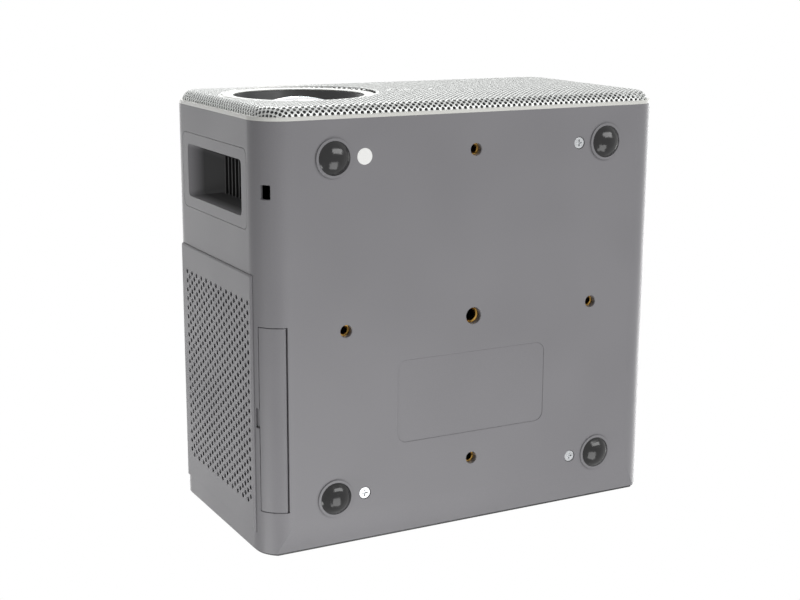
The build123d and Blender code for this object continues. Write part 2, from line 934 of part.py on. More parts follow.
intake_fan_x = filter_x + filter_thick + fit_gap + rail_wall + 1.6
outlet_fan_x = lamp_end + 40.0
tray_left = -inner_side + tray_side_gap
tray_right = inner_side - tray_side_gap + 4.0
with BuildPart() as chassis_tray:
    block(
        (tray_left, tray_right),
        (shell_front + tray_front_gap, shell_rear - tray_rear_gap),
        (tray_level, tray_top),
    )
    # holes for the screws, and room for the inserts' ends
    with BuildSketch(level(tray_level)):
        with Locations(*screws):
            Circle(screw_radius + slide_gap)
        with Locations(*ceiling_holes):
            Circle(ceiling_insert_radius + seat_gap)
        with Locations((mount_shift, 0)):
            Circle(tripod_insert_radius + seat_gap)
    extrude(amount=tray_thick, mode=Mode.SUBTRACT)
    # upright tabs that carry the two axial fans
    for face_x, y, size in (
        (intake_fan_x + fan_depth, intake_fan_y, intake_fan_size),
        (outlet_fan_x - tab_thick, outlet_fan_y, outlet_fan_size),
    ):
        block(
            (face_x, face_x + tab_thick),
            (y - size / 2, y + size / 2),
            (tray_level, middle + size / 2),
        )
        rod(beside(face_x), (y, middle), size / 2 - fan_rim, tab_thick, mode=Mode.SUBTRACT)


def draw_fan_frame(x, y, size, boss_inner):
    """Square frame with a round duct, a motor boss on three arms and a spindle."""
    hub = size * 0.19
    boss_x = x + fan_depth - 3.0 if boss_inner else x
    with BuildSketch(beside(x)) as duct:
        with Locations((y, middle)):
            RectangleRounded(size, size, 3.0)
            Circle(size / 2 - fan_rim, mode=Mode.SUBTRACT)
    extrude(duct.sketch, amount=fan_depth)
    with BuildSketch(beside(boss_x)) as boss:
        with Locations((y, middle)):
            Circle(hub)
            with PolarLocations(size / 4, 3):
                Rectangle(size / 2 - fan_rim, 3.0)
    extrude(boss.sketch, amount=3.0)
    rod(beside(x + 2.0), (y, middle), spindle_radius, fan_depth - 4.0)


def draw_fan_rotor(x, y, size, boss_inner):
    """Hub with a bore on the spindle and slanted blades."""
    hub = size * 0.19
    depth = fan_depth - 5.0
    low = x + 1.5 if boss_inner else x + 3.5
    tip = size / 2 - fan_rim - 1.2
    chord = hub * 0.95
    rod(beside(low), (y, middle), hub, depth)
    hub_plane = Plane(origin=(low + depth / 2, y, middle), x_dir=(0, 1, 0), z_dir=(1, 0, 0))
    with Locations(hub_plane):
        with PolarLocations((tip + hub * 0.8) / 2, blade_count):
            Box(tip - hub * 0.8, chord, 1.2, rotation=(35, 0, 0))
    rod(beside(low), (y, middle), spindle_radius + slide_gap, depth, mode=Mode.SUBTRACT)


with BuildPart() as intake_fan_frame:
    draw_fan_frame(intake_fan_x, intake_fan_y, intake_fan_size, True)
with BuildPart() as intake_fan_rotor:
    draw_fan_rotor(intake_fan_x, intake_fan_y, intake_fan_size, True)
with BuildPart() as outlet_fan_frame:
    draw_fan_frame(outlet_fan_x, outlet_fan_y, outlet_fan_size, False)
with BuildPart() as outlet_fan_rotor:
    draw_fan_rotor(outlet_fan_x, outlet_fan_y, outlet_fan_size, False)

# Blower under the lens: its channel ends behind the air outlet
blower_low = tray_top
blower_high = tray_top + blower_height
blower_skin = 1.5
channel_width = 24.0
channel_end = mouth_x + louvre_depth / 2 + seat_gap
channel_y = blower_y - blower_radius + channel_width / 2
with BuildPart() as blower_case:
    with BuildSketch(level(blower_low)):
        with Locations((blower_x, blower_y)):
            Circle(blower_radius)
        with Locations(((channel_end + blower_x) / 2, channel_y)):
            Rectangle(blower_x - channel_end, channel_width)
    extrude(amount=blower_height)
    with BuildSketch(level(blower_low + blower_skin)):
        with Locations((blower_x, blower_y)):
            Circle(blower_radius - blower_skin)
        with Locations(((channel_end + blower_x) / 2 - blower_skin, channel_y)):
            Rectangle(blower_x - channel_end, channel_width - 2 * blower_skin)
    extrude(amount=blower_height - 2 * blower_skin, mode=Mode.SUBTRACT)
    rod(
        level(blower_high - blower_skin),
        (blower_x, blower_y),
        blower_radius * 0.6,
        blower_skin,
        mode=Mode.SUBTRACT,
    )
    rod(level(blower_low), (blower_x, blower_y), spindle_radius, blower_height - 4.0)
with BuildPart() as blower_wheel:
    wheel_low = blower_low + blower_skin + 1.0
    wheel_height = blower_height - 2 * blower_skin - 2.0
    wheel_radius = blower_radius - blower_skin - 3.0
    rod(level(wheel_low), (blower_x, blower_y), wheel_radius, 1.5)
    rod(level(wheel_low), (blower_x, blower_y), wheel_radius * 0.35, wheel_height - 2.0)
    with Locations((blower_x, blower_y, wheel_low)):
        with PolarLocations(wheel_radius - 3.5, blower_blades):
            Box(
                6.0,
                1.0,
                wheel_height,
                rotation=(0, 0, 30),
                align=(Align.CENTER, Align.CENTER, Align.MIN),
            )
    rod(
        level(wheel_low),
        (blower_x, blower_y),
        spindle_radius + slide_gap,
        wheel_height,
        mode=Mode.SUBTRACT,
    )

# Light engine: an L-shaped dust-tight case
engine_low = middle - engine_height / 2 - engine_wall
engine_open = middle + engine_height / 2
lens_leg = (lens_x - engine_width / 2 - engine_wall, lens_x + engine_width / 2 + engine_wall)
lamp_leg = (engine_y - engine_width / 2 - engine_wall, engine_y + engine_width / 2 + engine_wall)
post_places = [
    (lens_leg[0] + post_size / 2, lamp_leg[0] + post_size / 2),
    (lens_leg[0] + post_size / 2, lamp_leg[1] - post_size / 2),
    (lamp_end - post_size, lamp_leg[0] + post_size / 2),
    (lamp_end - post_size, lamp_leg[1] - post_size / 2),
]


def inside(span):
    """A pair of limits drawn in by the engine's wall."""
    return (span[0] + engine_wall, span[1] - engine_wall)


with BuildPart() as light_engine_case:
    block(lens_leg, (engine_front, lamp_leg[1]), (engine_low, engine_open))
    block((lens_leg[0], lamp_end), lamp_leg, (engine_low, engine_open))
    hollow = (engine_low + engine_wall, engine_open + wall)
    block(
        inside(lens_leg),
        (engine_front + engine_wall, lamp_leg[1] - engine_wall),
        hollow,
        mode=Mode.SUBTRACT,
    )
    block((lens_x, lamp_end + wall), inside(lamp_leg), hollow, mode=Mode.SUBTRACT)
    rod(
        across(engine_front + 2 * engine_wall),
        (lens_x, middle),
        barrel_radius - barrel_wall,
        3 * engine_wall,
        mode=Mode.SUBTRACT,
    )
    # wall that carries the condenser
    block(
        (lamp_end - 28.0, lamp_end - 26.0),
        inside(lamp_leg),
        (engine_low + engine_wall, engine_open),
    )
    rod(
        beside(lamp_end - 28.0),
        (engine_y, middle),
        condenser_radius - 3.0,
        engine_wall,
        mode=Mode.SUBTRACT,
    )
    for x, y in post_places:
        block(
            (x - post_size / 2, x + post_size / 2),
            (y - post_size / 2, y + post_size / 2),
            (tray_top, engine_low),
        )

with BuildPart() as engine_cover:
    lid = (engine_open, engine_open + engine_wall)
    block(lens_leg, (engine_front, lamp_leg[1]), lid)
    block((lens_leg[0], lamp_end), lamp_leg, lid)

optic_width = engine_width - 2 * optic_gap
optic_height = engine_height - 2 * optic_gap


def draw_optic(x, thickness):
    """Flat plate across the lamp leg."""
    with BuildSketch(beside(x)) as plate:
        with Locations((engine_y, middle)):
            Rectangle(optic_width, optic_height)
    extrude(plate.sketch, amount=thickness)


with BuildPart() as fresnel_lenses:
    draw_optic(lens_x + 38.0, 2.0)
    draw_optic(lens_x + 52.0, 2.0)
with BuildPart() as lcd_panel:
    draw_optic(lens_x + 44.0, 2.2)
with BuildPart() as heat_glass:
    draw_optic(lens_x + 60.0, 1.5)
with BuildPart() as fold_mirror:
    with BuildSketch(
        Plane(origin=(lens_x, engine_y, middle), x_dir=(1, 1, 0), z_dir=(-1, 1, 0))
    ):
        Rectangle(mirror_length, optic_height)
    extrude(amount=engine_wall)

with BuildPart() as condenser_lens:
    flat = lamp_end - 26.0
    peak = flat + condenser_bulge
    curve = curve_for(condenser_radius, condenser_bulge - condenser_edge)
    with BuildSketch(Plane(origin=(0, engine_y, middle))):
        with BuildLine():
            bulge = ThreePointArc(
                (flat + condenser_edge, condenser_radius),
                (peak - sagitta(condenser_radius / 2, curve), condenser_radius / 2),
                (peak, 0),
            )
            Polyline(bulge @ 1, (flat, 0), (flat, condenser_radius), bulge @ 0)
        make_face()
    revolve(axis=Axis((0, engine_y, middle), (1, 0, 0)))

lamp_board = 50.0
lamp_board_thick = 2.0
with BuildPart() as led_module:
    block(
        (lamp_end, lamp_end + lamp_board_thick),
        (lamp_leg[0], lamp_leg[1]),
        (middle - lamp_board / 2, middle + lamp_board / 2),
    )
    block(
        (lamp_end - 1.2, lamp_end),
        (engine_y - 6.0, engine_y + 6.0),
        (middle - 6.0, middle + 6.0),
    )
with BuildPart() as led_heatsink:
    sink_x = lamp_end + lamp_board_thick
    sink_width = 68.0
    sink_height = 60.0
    fin_count = 17
    block(
        (sink_x, sink_x + 5.0),
        (engine_y - sink_width / 2, engine_y + sink_width / 2),
        (middle - sink_height / 2, middle + sink_height / 2),
    )
    with BuildSketch(beside(sink_x + 5.0)):
        with Locations((engine_y, middle)):
            with GridLocations((sink_width - 1.2) / (fin_count - 1), 0, fin_count, 1):
                Rectangle(1.2, sink_height)
    extrude(amount=26.0)

# Lens tube with its flange and the bearing of the focus screw
tube_inner = barrel_radius + slide_gap
tube_outer = tube_inner + tube_wall
flange_thick = 3.0
flange_face = engine_front - flange_thick
arm_y = barrel_front + 0.5 * barrel_length
arm_thick = 4.0
arm_height = 6.0
screw_line = lens_x + tube_outer + 9.0
focus_screw_radius = 1.5
motor_radius = 7.5
motor_length = 12.0
screw_front = arm_y - arm_thick / 2 - 12.0
with BuildPart() as lens_guide_tube:
    with BuildSketch(across(flange_face)):
        with Locations((lens_x, middle)):
            Circle(tube_outer)
    extrude(amount=flange_face - tube_front)
    block(
        (lens_leg[0], screw_line + motor_radius + 1.0),
        (flange_face, engine_front),
        (engine_low, engine_open),
    )
    rod(
        across(engine_front),
        (lens_x, middle),
        tube_inner,
        engine_front - tube_front,
        mode=Mode.SUBTRACT,
    )
    # slot for the barrel's arm
    block(
        (lens_x + barrel_radius - wall, lens_x + tube_outer + wall),
        (arm_y - arm_thick / 2 - 1000 * focus_out - 1.0, arm_y + arm_thick / 2 + 1000 * focus_in + 1.0),
        (middle - arm_height / 2 - seat_gap, middle + arm_height / 2 + seat_gap),
        mode=Mode.SUBTRACT,
    )
    # ear that holds the front end of the focus screw
    block(
        (lens_x + tube_inner + tube_wall / 2, screw_line + 3.5),
        (screw_front - 3.0, screw_front),
        (middle - 4.0, middle + 4.0),
    )
    rod(
        across(screw_front),
        (screw_line, middle),
        focus_screw_radius + slide_gap,
        3.0,
        mode=Mode.SUBTRACT,
    )

with BuildPart() as focus_motor:
    motor_front = flange_face - motor_length
    rod(across(flange_face), (screw_line, middle), motor_radius, motor_length)
    rod(
        across(motor_front + 2.0),
        (screw_line, middle),
        focus_screw_radius + slide_gap,
        2.0,
        mode=Mode.SUBTRACT,
    )
with BuildPart() as focus_screw:
    rod(
        across(motor_front + 1.5),
        (screw_line, middle),
        focus_screw_radius,
        motor_front + 1.5 - screw_front + 2.5,
    )

# Focusing barrel with its two glasses
glass_back = glass_apex + glass_sag + glass_edge
barrel_rear = barrel_front + barrel_length
rear_glass_radius = barrel_radius - barrel_wall - 1.0
rear_glass_thick = 6.0
with BuildPart() as focus_barrel:
    spun(
        [
            (glass_radius + slide_gap, barrel_front),
            (barrel_radius, barrel_front),
            (barrel_radius, barrel_rear),
            (rear_glass_radius + slide_gap, barrel_rear),
            (rear_glass_radius + slide_gap, barrel_rear - rear_glass_thick),
            (rear_glass_radius - 2.0, barrel_rear - rear_glass_thick),
            (rear_glass_radius - 2.0, glass_back),
            (glass_radius + slide_gap, glass_back),
        ],
        lens_x,
        middle,
    )
    block(
        (lens_x + barrel_radius - 1.0, screw_line + 4.0),
        (arm_y - arm_thick / 2, arm_y + arm_thick / 2),
        (middle - arm_height / 2, middle + arm_height / 2),
    )
    rod(
        across(arm_y + arm_thick / 2),
        (screw_line, middle),
        focus_screw_radius + slide_gap,
        arm_thick,
        mode=Mode.SUBTRACT,
    )

with BuildPart() as front_lens:
    with BuildSketch(Plane(origin=(lens_x, 0, middle))):
        with BuildLine():
            dome_line = ThreePointArc(
                (glass_radius, glass_apex + glass_sag),
                (glass_radius / 2, glass_apex + sagitta(glass_radius / 2, glass_curve)),
                (0, glass_apex),
            )
            Polyline(dome_line @ 1, (0, glass_back), (glass_radius, glass_back), dome_line @ 0)
        make_face()
    revolve(axis=Axis((lens_x, 0, middle), (0, 1, 0)))
with BuildPart() as rear_lens:
    rear_face = barrel_rear - rear_glass_thick
    spun(
        [
            (0, rear_face),
            (rear_glass_radius, rear_face),
            (rear_glass_radius, rear_face + 3.0),
            (rear_glass_radius * 0.6, rear_face + 4.8),
            (0, rear_face + 5.4),
        ],
        lens_x,
        middle,
    )

# Keys and their board
keys = []
for (x, y), radius in zip(key_places, key_radii):
    with BuildPart() as key:
        rod(level(flange_top - key_flange), (x, y), radius, cap_top - flange_top + key_flange)
        fillet(key.edges().group_by(Axis.Z)[-1], key_proud)
        rod(level(flange_top - key_flange), (x, y), radius + 1.2, key_flange)
        rod(level(stem_bottom), (x, y), 1.5, key_stem)
    keys.append(key)
power_key, source_key, minus_key, plus_key = keys

with BuildPart() as key_board:
    block(
        (-key_board_width / 2, key_board_width / 2),
        (key_y - key_board_length / 2, key_y + key_board_length / 2),
        (key_board_low, key_board_top),
    )
    with BuildSketch(level(key_board_top)):
        with Locations(*key_places):
            Rectangle(6.0, 6.0)
    extrude(amount=switch_height)

# Main board, supply board and their standoffs
main_rear = shell_rear - 2.2
main_front = main_rear - main_board_length
main_left = -84.0
main_right = main_left + main_board_width
supply_left = main_right + 6.0
supply_right = supply_left + supply_board_width
supply_rear = shell_rear - 6.7
supply_front = supply_rear - supply_board_length
standoffs = [
    (main_left + 4.0, main_front + 4.0),
    (main_right - 4.0, main_front + 4.0),
    (main_left + 4.0, main_rear - 14.0),
    (main_right - 4.0, main_rear - 14.0),
    (supply_left + 4.0, supply_front + 4.0),
    (supply_right - 4.0, supply_front + 4.0),
    (supply_left + 4.0, supply_rear - 4.0),
    (supply_right - 4.0, supply_rear - 4.0),
]
with BuildPart() as main_board:
    block((main_left, main_right), (main_front, main_rear), (board_level, board_top))
    # processor heatsink, memory chips and coils
    block((-40.0, -10.0), (main_front + 8, main_front + 36), (board_top, board_top + 8.0))
    for x in (-70.0, -56.0):
        block((x, x + 10), (main_front + 14, main_front + 26), (board_top, board_top + 1.4))
    with BuildSketch(level(board_top)):
        with Locations((2, main_front + 20), (2, main_front + 34)):
            Circle(4.0)
    extrude(amount=9.0)
with BuildPart() as power_supply_board:
    block((supply_left, supply_right), (supply_front, supply_rear), (board_level, board_top))
    # transformer, capacitors and a cooling plate
    block(
        (supply_left + 24, supply_left + 48),
        (supply_front + 4, supply_front + 24),
        (board_top, board_top + 20.0),
    )
    with BuildSketch(level(board_top)):
        with Locations(
            (supply_left + 12, supply_front + 14), (supply_right - 12, supply_front + 14)
        ):
            Circle(6.0)
    extrude(amount=22.0)
    block(
        (supply_left + 52, supply_left + 55),
        (supply_front + 4, supply_front + 26),
        (board_top, board_top + 18.0),
    )
with BuildPart() as board_standoffs:
    with BuildSketch(level(tray_top)):
        with Locations(*standoffs):
            RegularPolygon(standoff_radius, 6)
    extrude(amount=standoff_height)


def draw_shell_socket(x, size, depth, tongue):
    """Metal socket shell with a tongue, its mouth in the rear panel."""
    z = board_top + size[1] / 2
    skin = 0.5
    with BuildSketch(across(socket_y)) as shell:
        with Locations((x, z)):
            Rectangle(*size)
    extrude(shell.sketch, amount=depth)
    with BuildSketch(across(socket_y)) as mouth:
        with Locations((x, z)):
            Rectangle(size[0] - 2 * skin, size[1] - 2 * skin)
            Rectangle(size[0] * 0.72, tongue, mode=Mode.SUBTRACT)
    extrude(mouth.sketch, amount=depth - 2.0, mode=Mode.SUBTRACT)


with BuildPart() as hdmi_ports:
    for x in hdmi_places:
        draw_shell_socket(x, hdmi_size, 12.5, 1.2)
with BuildPart() as usb_ports:
    for x in usb_places:
        draw_shell_socket(x, usb_size, 13.5, 1.6)
with BuildPart() as audio_jacks:
    for x in jack_places:
        z = board_top + jack_body / 2
        block(
            (x - jack_body / 2, x + jack_body / 2),
            (main_rear - 11.0, shell_rear - fit_gap),
            (board_top, board_top + jack_body),
        )
        rod(across(socket_y), (x, z), jack_nose_radius, panel_proud)
        rod(across(socket_y), (x, z), 1.8, 11.0, mode=Mode.SUBTRACT)

with BuildPart() as ac_inlet:
    with BuildSketch(across(socket_y)):
        with Locations((inlet_x, inlet_z)):
            RectangleRounded(*inlet_face, 3.0)
    extrude(amount=18.0)
    with BuildSketch(across(shell_rear)):
        with Locations((inlet_x, inlet_z)):
            Rectangle(inlet_face[0] + 2 * inlet_flange, inlet_face[1] + 2 * inlet_flange)
    extrude(amount=2.0)
    with BuildSketch(across(socket_y)):
        with Locations((inlet_x, inlet_z)):
            SlotOverall(*inlet_recess)
    extrude(amount=12.0, mode=Mode.SUBTRACT)
    for offset in (-4.3, 4.3):
        rod(across(socket_y - 2.0), (inlet_x + offset, inlet_z), 1.2, 12.0)

# Speakers behind the mesh
speaker_back = shell_front + speaker_depth
with BuildPart() as speaker_frames:
    for x in speaker_xs:
        spun(
            [
                (speaker_radius - 3.5, shell_front),
                (speaker_radius, shell_front),
                (speaker_radius, shell_front + 2.0),
                (speaker_radius - 3.0, shell_front + 2.0),
                (speaker_radius * 0.5, speaker_back),
                (6.0, speaker_back),
                (6.0, speaker_back - 1.2),
                (speaker_radius * 0.5 - 1.0, speaker_back - 1.2),
                (speaker_radius - 4.4, shell_front + 1.8),
            ],
            x,
            middle,
        )
with BuildPart() as speaker_cones:
    for x in speaker_xs:
        spun(
            [
                (0, shell_front + 6.0),
                (5.0, shell_front + 7.4),
                (speaker_radius - 6.6, shell_front + 0.6),
                (speaker_radius - 4.8, shell_front + 0.4),
                (speaker_radius - 4.8, shell_front + 1.2),
                (speaker_radius - 6.6, shell_front + 1.6),
                (5.0, shell_front + 8.6),
                (5.0, speaker_back + 1.0),
                (4.0, speaker_back + 1.0),
                (4.0, shell_front + 8.2),
                (0, shell_front + 7.0),
            ],
            x,
            middle,
        )
with BuildPart() as speaker_magnets:
    for x in speaker_xs:
        spun(
            [
                (5.6, speaker_back),
                (13.0, speaker_back),
                (13.0, speaker_back + 8.0),
                (0, speaker_back + 8.0),
                (0, speaker_back + 2.0),
                (5.6, speaker_back + 2.0),
            ],
            x,
            middle,
        )

pieces = {
    "lower_housing": lower_housing,
    "top_cover": top_cover,
    "front_frame": front_frame,
    "front_mesh": front_mesh,
    "lens_trim_ring": lens_trim_ring,
    "lens_shade": lens_shade,
    "autofocus_window": autofocus_window,
    "ranging_window": ranging_window,
    "rear_panel": rear_panel,
    "infrared_window": infrared_window,
    "exhaust_outlet": exhaust_outlet,
    "intake_grille": intake_grille,
    "side_outlet_grille": side_outlet_grille,
    "filter_door": filter_door,
    "door_hinge_pins": door_hinge_pins,
    "filter_frame": filter_frame,
    "filter_foam": filter_foam,
    "rubber_feet": rubber_feet,
    "case_screws": case_screws,
    "seal_sticker": seal_sticker,
    "tripod_insert": tripod_insert,
    "ceiling_inserts": ceiling_inserts,
    "chassis_tray": chassis_tray,
    "intake_fan_frame": intake_fan_frame,
    "intake_fan_rotor": intake_fan_rotor,
    "outlet_fan_frame": outlet_fan_frame,
    "outlet_fan_rotor": outlet_fan_rotor,
    "blower_case": blower_case,
    "blower_wheel": blower_wheel,
    "light_engine_case": light_engine_case,
    "engine_cover": engine_cover,
    "fresnel_lenses": fresnel_lenses,
    "lcd_panel": lcd_panel,
    "heat_glass": heat_glass,
    "fold_mirror": fold_mirror,
    "condenser_lens": condenser_lens,
    "led_module": led_module,
    "led_heatsink": led_heatsink,
    "lens_guide_tube": lens_guide_tube,
    "focus_motor": focus_motor,
    "focus_screw": focus_screw,
    "focus_barrel": focus_barrel,
    "front_lens": front_lens,
    "rear_lens": rear_lens,
    "power_key": power_key,
    "source_key": source_key,
    "minus_key": minus_key,
    "plus_key": plus_key,
    "key_board": key_board,
    "main_board": main_board,
    "power_supply_board": power_supply_board,
    "board_standoffs": board_standoffs,
    "hdmi_ports": hdmi_ports,
    "usb_ports": usb_ports,
    "audio_jacks": audio_jacks,
    "ac_inlet": ac_inlet,
    "speaker_frames": speaker_frames,
    "speaker_cones": speaker_cones,
    "speaker_magnets": speaker_magnets,
}
for name, piece in pieces.items():
    piece.part.label = name
    export_step(piece.part, f"parts/{name}.step")
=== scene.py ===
"""Mini projector: the finish of every moulded, pressed and turned surface, and the studio.

Laid out as a Blender add-on. Run as a script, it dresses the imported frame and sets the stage.
Places are in metres in the projector's own frame: +Z up, lens towards -Y, feet on z = 0.
"""

import json
from math import cos, pi, radians, sin, sqrt

import bpy
from bpy.props import (
    FloatProperty,
    FloatVectorProperty,
    IntProperty,
    PointerProperty,
)
from bpy.types import Operator, Panel, PropertyGroup
from mathutils import Matrix, Vector


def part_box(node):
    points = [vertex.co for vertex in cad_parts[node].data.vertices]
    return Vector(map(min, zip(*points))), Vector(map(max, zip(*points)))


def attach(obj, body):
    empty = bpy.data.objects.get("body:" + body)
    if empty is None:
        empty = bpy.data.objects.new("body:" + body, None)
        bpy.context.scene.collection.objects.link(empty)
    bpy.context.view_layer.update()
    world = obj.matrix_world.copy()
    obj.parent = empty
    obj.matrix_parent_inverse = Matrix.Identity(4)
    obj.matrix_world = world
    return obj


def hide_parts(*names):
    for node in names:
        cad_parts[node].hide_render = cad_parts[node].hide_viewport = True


bl_info = {
    "name": "Mini Projector",
    "version": (1, 0, 0),
    "blender": (4, 5, 0),
    "location": "3D View > Sidebar > Projector",
    "description": "Dresses a mini projector and sets a white studio round it",
    "category": "Mesh",
}

MM = 0.001
# radius of the pressed mesh's corners, seen from the front
MESH_CORNER = 14.4 * MM
# the values that most of a cloudy pattern lies between, and those of an even one
CLOUDY = (0.3, 0.7)
WHOLE = (0.0, 1.0)
# faces that meet at less than this angle look like one round surface
SMOOTH = radians(40)

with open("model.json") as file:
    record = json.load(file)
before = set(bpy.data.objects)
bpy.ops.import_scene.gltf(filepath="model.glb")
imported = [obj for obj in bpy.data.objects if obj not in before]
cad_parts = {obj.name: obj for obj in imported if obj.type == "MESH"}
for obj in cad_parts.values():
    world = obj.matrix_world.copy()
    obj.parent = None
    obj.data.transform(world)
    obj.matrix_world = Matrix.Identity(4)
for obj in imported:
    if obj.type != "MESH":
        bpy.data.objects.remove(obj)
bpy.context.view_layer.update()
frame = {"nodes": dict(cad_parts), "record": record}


def linear(code):
    """An sRGB hex colour as linear red, green, blue and full alpha."""
    parts = [int(code[i : i + 2], 16) / 255 for i in (1, 3, 5)]
    return [p / 12.92 if p <= 0.04045 else ((p + 0.055) / 1.055) ** 2.4 for p in parts] + [1.0]


def colour(code, name, description):
    """A colour that the panel shows, with its sRGB hex default."""
    return FloatVectorProperty(
        name=name, description=description, default=linear(code), size=4, min=0, max=1,
        subtype="COLOR",
    )


def length(value, name, description):
    """A length that the panel shows, with its default in metres."""
    return FloatProperty(
        name=name, description=description, default=value, precision=5, unit="LENGTH"
    )


# Settings


class ProjectorFinish(PropertyGroup):
    """Colours of the materials"""

    housing: colour("#7e7d80", "Housing", "Grey ABS of the casing")
    housing_edge: colour("#868588", "Housing wear", "Grey ABS where hands have polished it")
    lip: colour("#d9d9d4", "Front frame", "Pale frame round the mesh")
    baffle: colour("#0c0c0d", "Baffle", "Matt black behind the mesh")
    # painted shade: the near black that stands in for the shade deep inside the air outlet
    duct_shade: colour("#0d0d0e", "Duct", "Inside of the air outlet")
    sheet: colour("#e3e5e3", "Front sheet", "Powder coat of the perforated sheet")
    ring: colour("#c0c1be", "Lens ring", "Bead-blasted aluminium")
    black: colour("#232425", "Black ABS", "Inner cases and rear panel")
    rubber: colour("#161617", "Rubber", "Moulded feet")
    brass: colour("#c39a52", "Brass", "Turned inserts and stand-offs")
    zinc: colour("#c4c6c8", "Zinc plate", "Screws, pins and socket shells")
    seal: colour("#f4f4f2", "Seal", "Matt film over one screw")
    board: colour("#1d5a34", "Solder mask", "Circuit boards")


class ProjectorSheet(PropertyGroup):
    """The perforated front"""

    column: length(1.58 * MM, "Column spacing", "Between one column of holes and the next")
    row: length(1.53 * MM, "Row spacing", "Between one row of holes and the next")
    hole: length(1.88 * MM, "Hole", "Diameter of a punched hole")
    thickness: length(0.5 * MM, "Thickness", "Gauge of the sheet")
    tuck: length(0.9 * MM, "Tuck", "How far the sheet's edge goes down behind the frame's lip")
    dome: length(1.7 * MM, "Dome", "How far the middle stands proud of the face's edge")
    edge_start: FloatProperty(
        name="Edge start", description="Slope at which the pressed edge starts",
        default=radians(22), subtype="ANGLE",
    )
    edge_end: FloatProperty(
        name="Edge end", description="Slope at which the pressed edge goes behind the lip",
        default=radians(78), subtype="ANGLE",
    )
    smooth: FloatProperty(
        name="Smooth", description="Faces that meet at less than this angle look round",
        default=radians(35), subtype="ANGLE",
    )
    corner: length(MESH_CORNER, "Corner", "Radius of the pressed corners, seen from the front")
    lens_gap: length(0.3 * MM, "Lens gap", "Between the lens ring and the sheet")


class ProjectorHardware(PropertyGroup):
    """Feet and threaded inserts"""

    foot_rim: length(3.7 * MM, "Foot rim", "Height at which a foot's dome meets its side")
    foot_grooves: IntProperty(name="Foot grooves", description="Rings on a foot", default=3)
    groove_depth: length(0.04 * MM, "Groove depth", "Depth of a ring on a foot")
    tripod_pitch: length(1.27 * MM, "Tripod pitch", "Twenty threads to the inch")
    tripod_bore: length(3.2 * MM, "Tripod bore", "Radius at the root of the thread")
    ceiling_pitch: length(0.7 * MM, "Ceiling pitch", "Pitch of the bracket's screws")
    ceiling_bore: length(2.05 * MM, "Ceiling bore", "Radius at the root of the thread")


class ProjectorStage(PropertyGroup):
    """Camera, lamps and background"""

    camera_place: FloatVectorProperty(
        name="Camera", description="Where the camera stands",
        default=(-0.37389, -0.1747, -0.61754), subtype="TRANSLATION", unit="LENGTH",
    )
    camera_turn: FloatVectorProperty(
        name="Camera turn", description="How the camera is turned about X, Y and Z",
        default=(radians(166.909), radians(28.038), radians(-0.316)), subtype="EULER",
        unit="ROTATION",
    )
    focal: FloatProperty(name="Focal length", description="Lens, in millimetres", default=65.85)
    ambient: FloatProperty(name="Ambient", description="Light from all round", default=0.15)
    floor_size: length(6.0, "Floor", "Side of the floor")


# Nodes and materials


def add(tree, kind, inputs=None, **settings):
    """Add a node with its settings; each input gets a value or a link."""
    made = tree.nodes.new("ShaderNode" + kind)
    for name, value in settings.items():
        setattr(made, name, value)
    for socket, value in (inputs or {}).items():
        if isinstance(value, bpy.types.NodeSocket):
            tree.links.new(value, made.inputs[socket])
        else:
            made.inputs[socket].default_value = value
    return made


def new_material(name, **surface):
    """A material of one Principled surface: its node tree, surface and object coordinates."""
    material = bpy.data.materials.new(name)
    material.use_nodes = True
    tree = material.node_tree
    tree.nodes.clear()
    shader = add(
        tree, "BsdfPrincipled", {key.replace("_", " "): val for key, val in surface.items()}
    )
    add(tree, "OutputMaterial", {"Surface": shader.outputs[0]})
    place = add(tree, "TexCoord").outputs["Object"]
    return material, tree, shader, place


def grain(tree, place, size_mm, detail=2.0, stretch=None):
    """A cloudy pattern whose blotches are about size_mm across, pulled along an axis or not."""
    if stretch:
        place = add(tree, "Mapping", {"Vector": place, "Scale": stretch}).outputs[0]
    return add(
        tree, "TexNoise", {"Vector": place, "Scale": 1 / (size_mm * MM), "Detail": detail}
    ).outputs["Fac"]


def between(tree, pattern, low, high, span=CLOUDY):
    """A pattern's span of values brought to run between two numbers or two colours."""
    numbers = isinstance(low, float)
    ends = {"To Min": low, "To Max": high} if numbers else {}
    share = add(
        tree, "MapRange", {"Value": pattern, "From Min": span[0], "From Max": span[1], **ends}
    ).outputs[0]
    if numbers:
        return share
    return add(
        tree, "Mix", {"Factor": share, "A": low, "B": high}, data_type="RGBA"
    ).outputs["Result"]


def darker(shade, share):
    """A colour times a share, as opaque as before."""
    return [part * share for part in shade[:3]] + [1.0]


def relief(tree, shader, pattern, depth_mm, soften_mm=0.0):
    """Raise the surface by a pattern; soften_mm rounds the sharp edges as a mould does."""
    inputs = {"Height": pattern, "Distance": depth_mm * MM, "Strength": 1.0}
    if soften_mm:
        inputs["Normal"] = add(tree, "Bevel", {"Radius": soften_mm * MM}, samples=4).outputs[0]
    tree.links.new(add(tree, "Bump", inputs).outputs[0], shader.inputs["Normal"])


def use(tree, shader, **sockets):
    """Link patterns to the surface's sockets."""
    for name, pattern in sockets.items():
        tree.links.new(pattern, shader.inputs[name.replace("_", " ")])


def casing_grit(tree, place, finish):
    """The grit that spark erosion leaves on the casing, and the grey that it shades."""
    # the real grit is near 0.1 mm, drawn at 0.45 mm so that it shows
    grit = grain(tree, place, 0.45, detail=3.0)
    return grit, between(tree, grit, darker(finish.housing, 0.93), finish.housing)


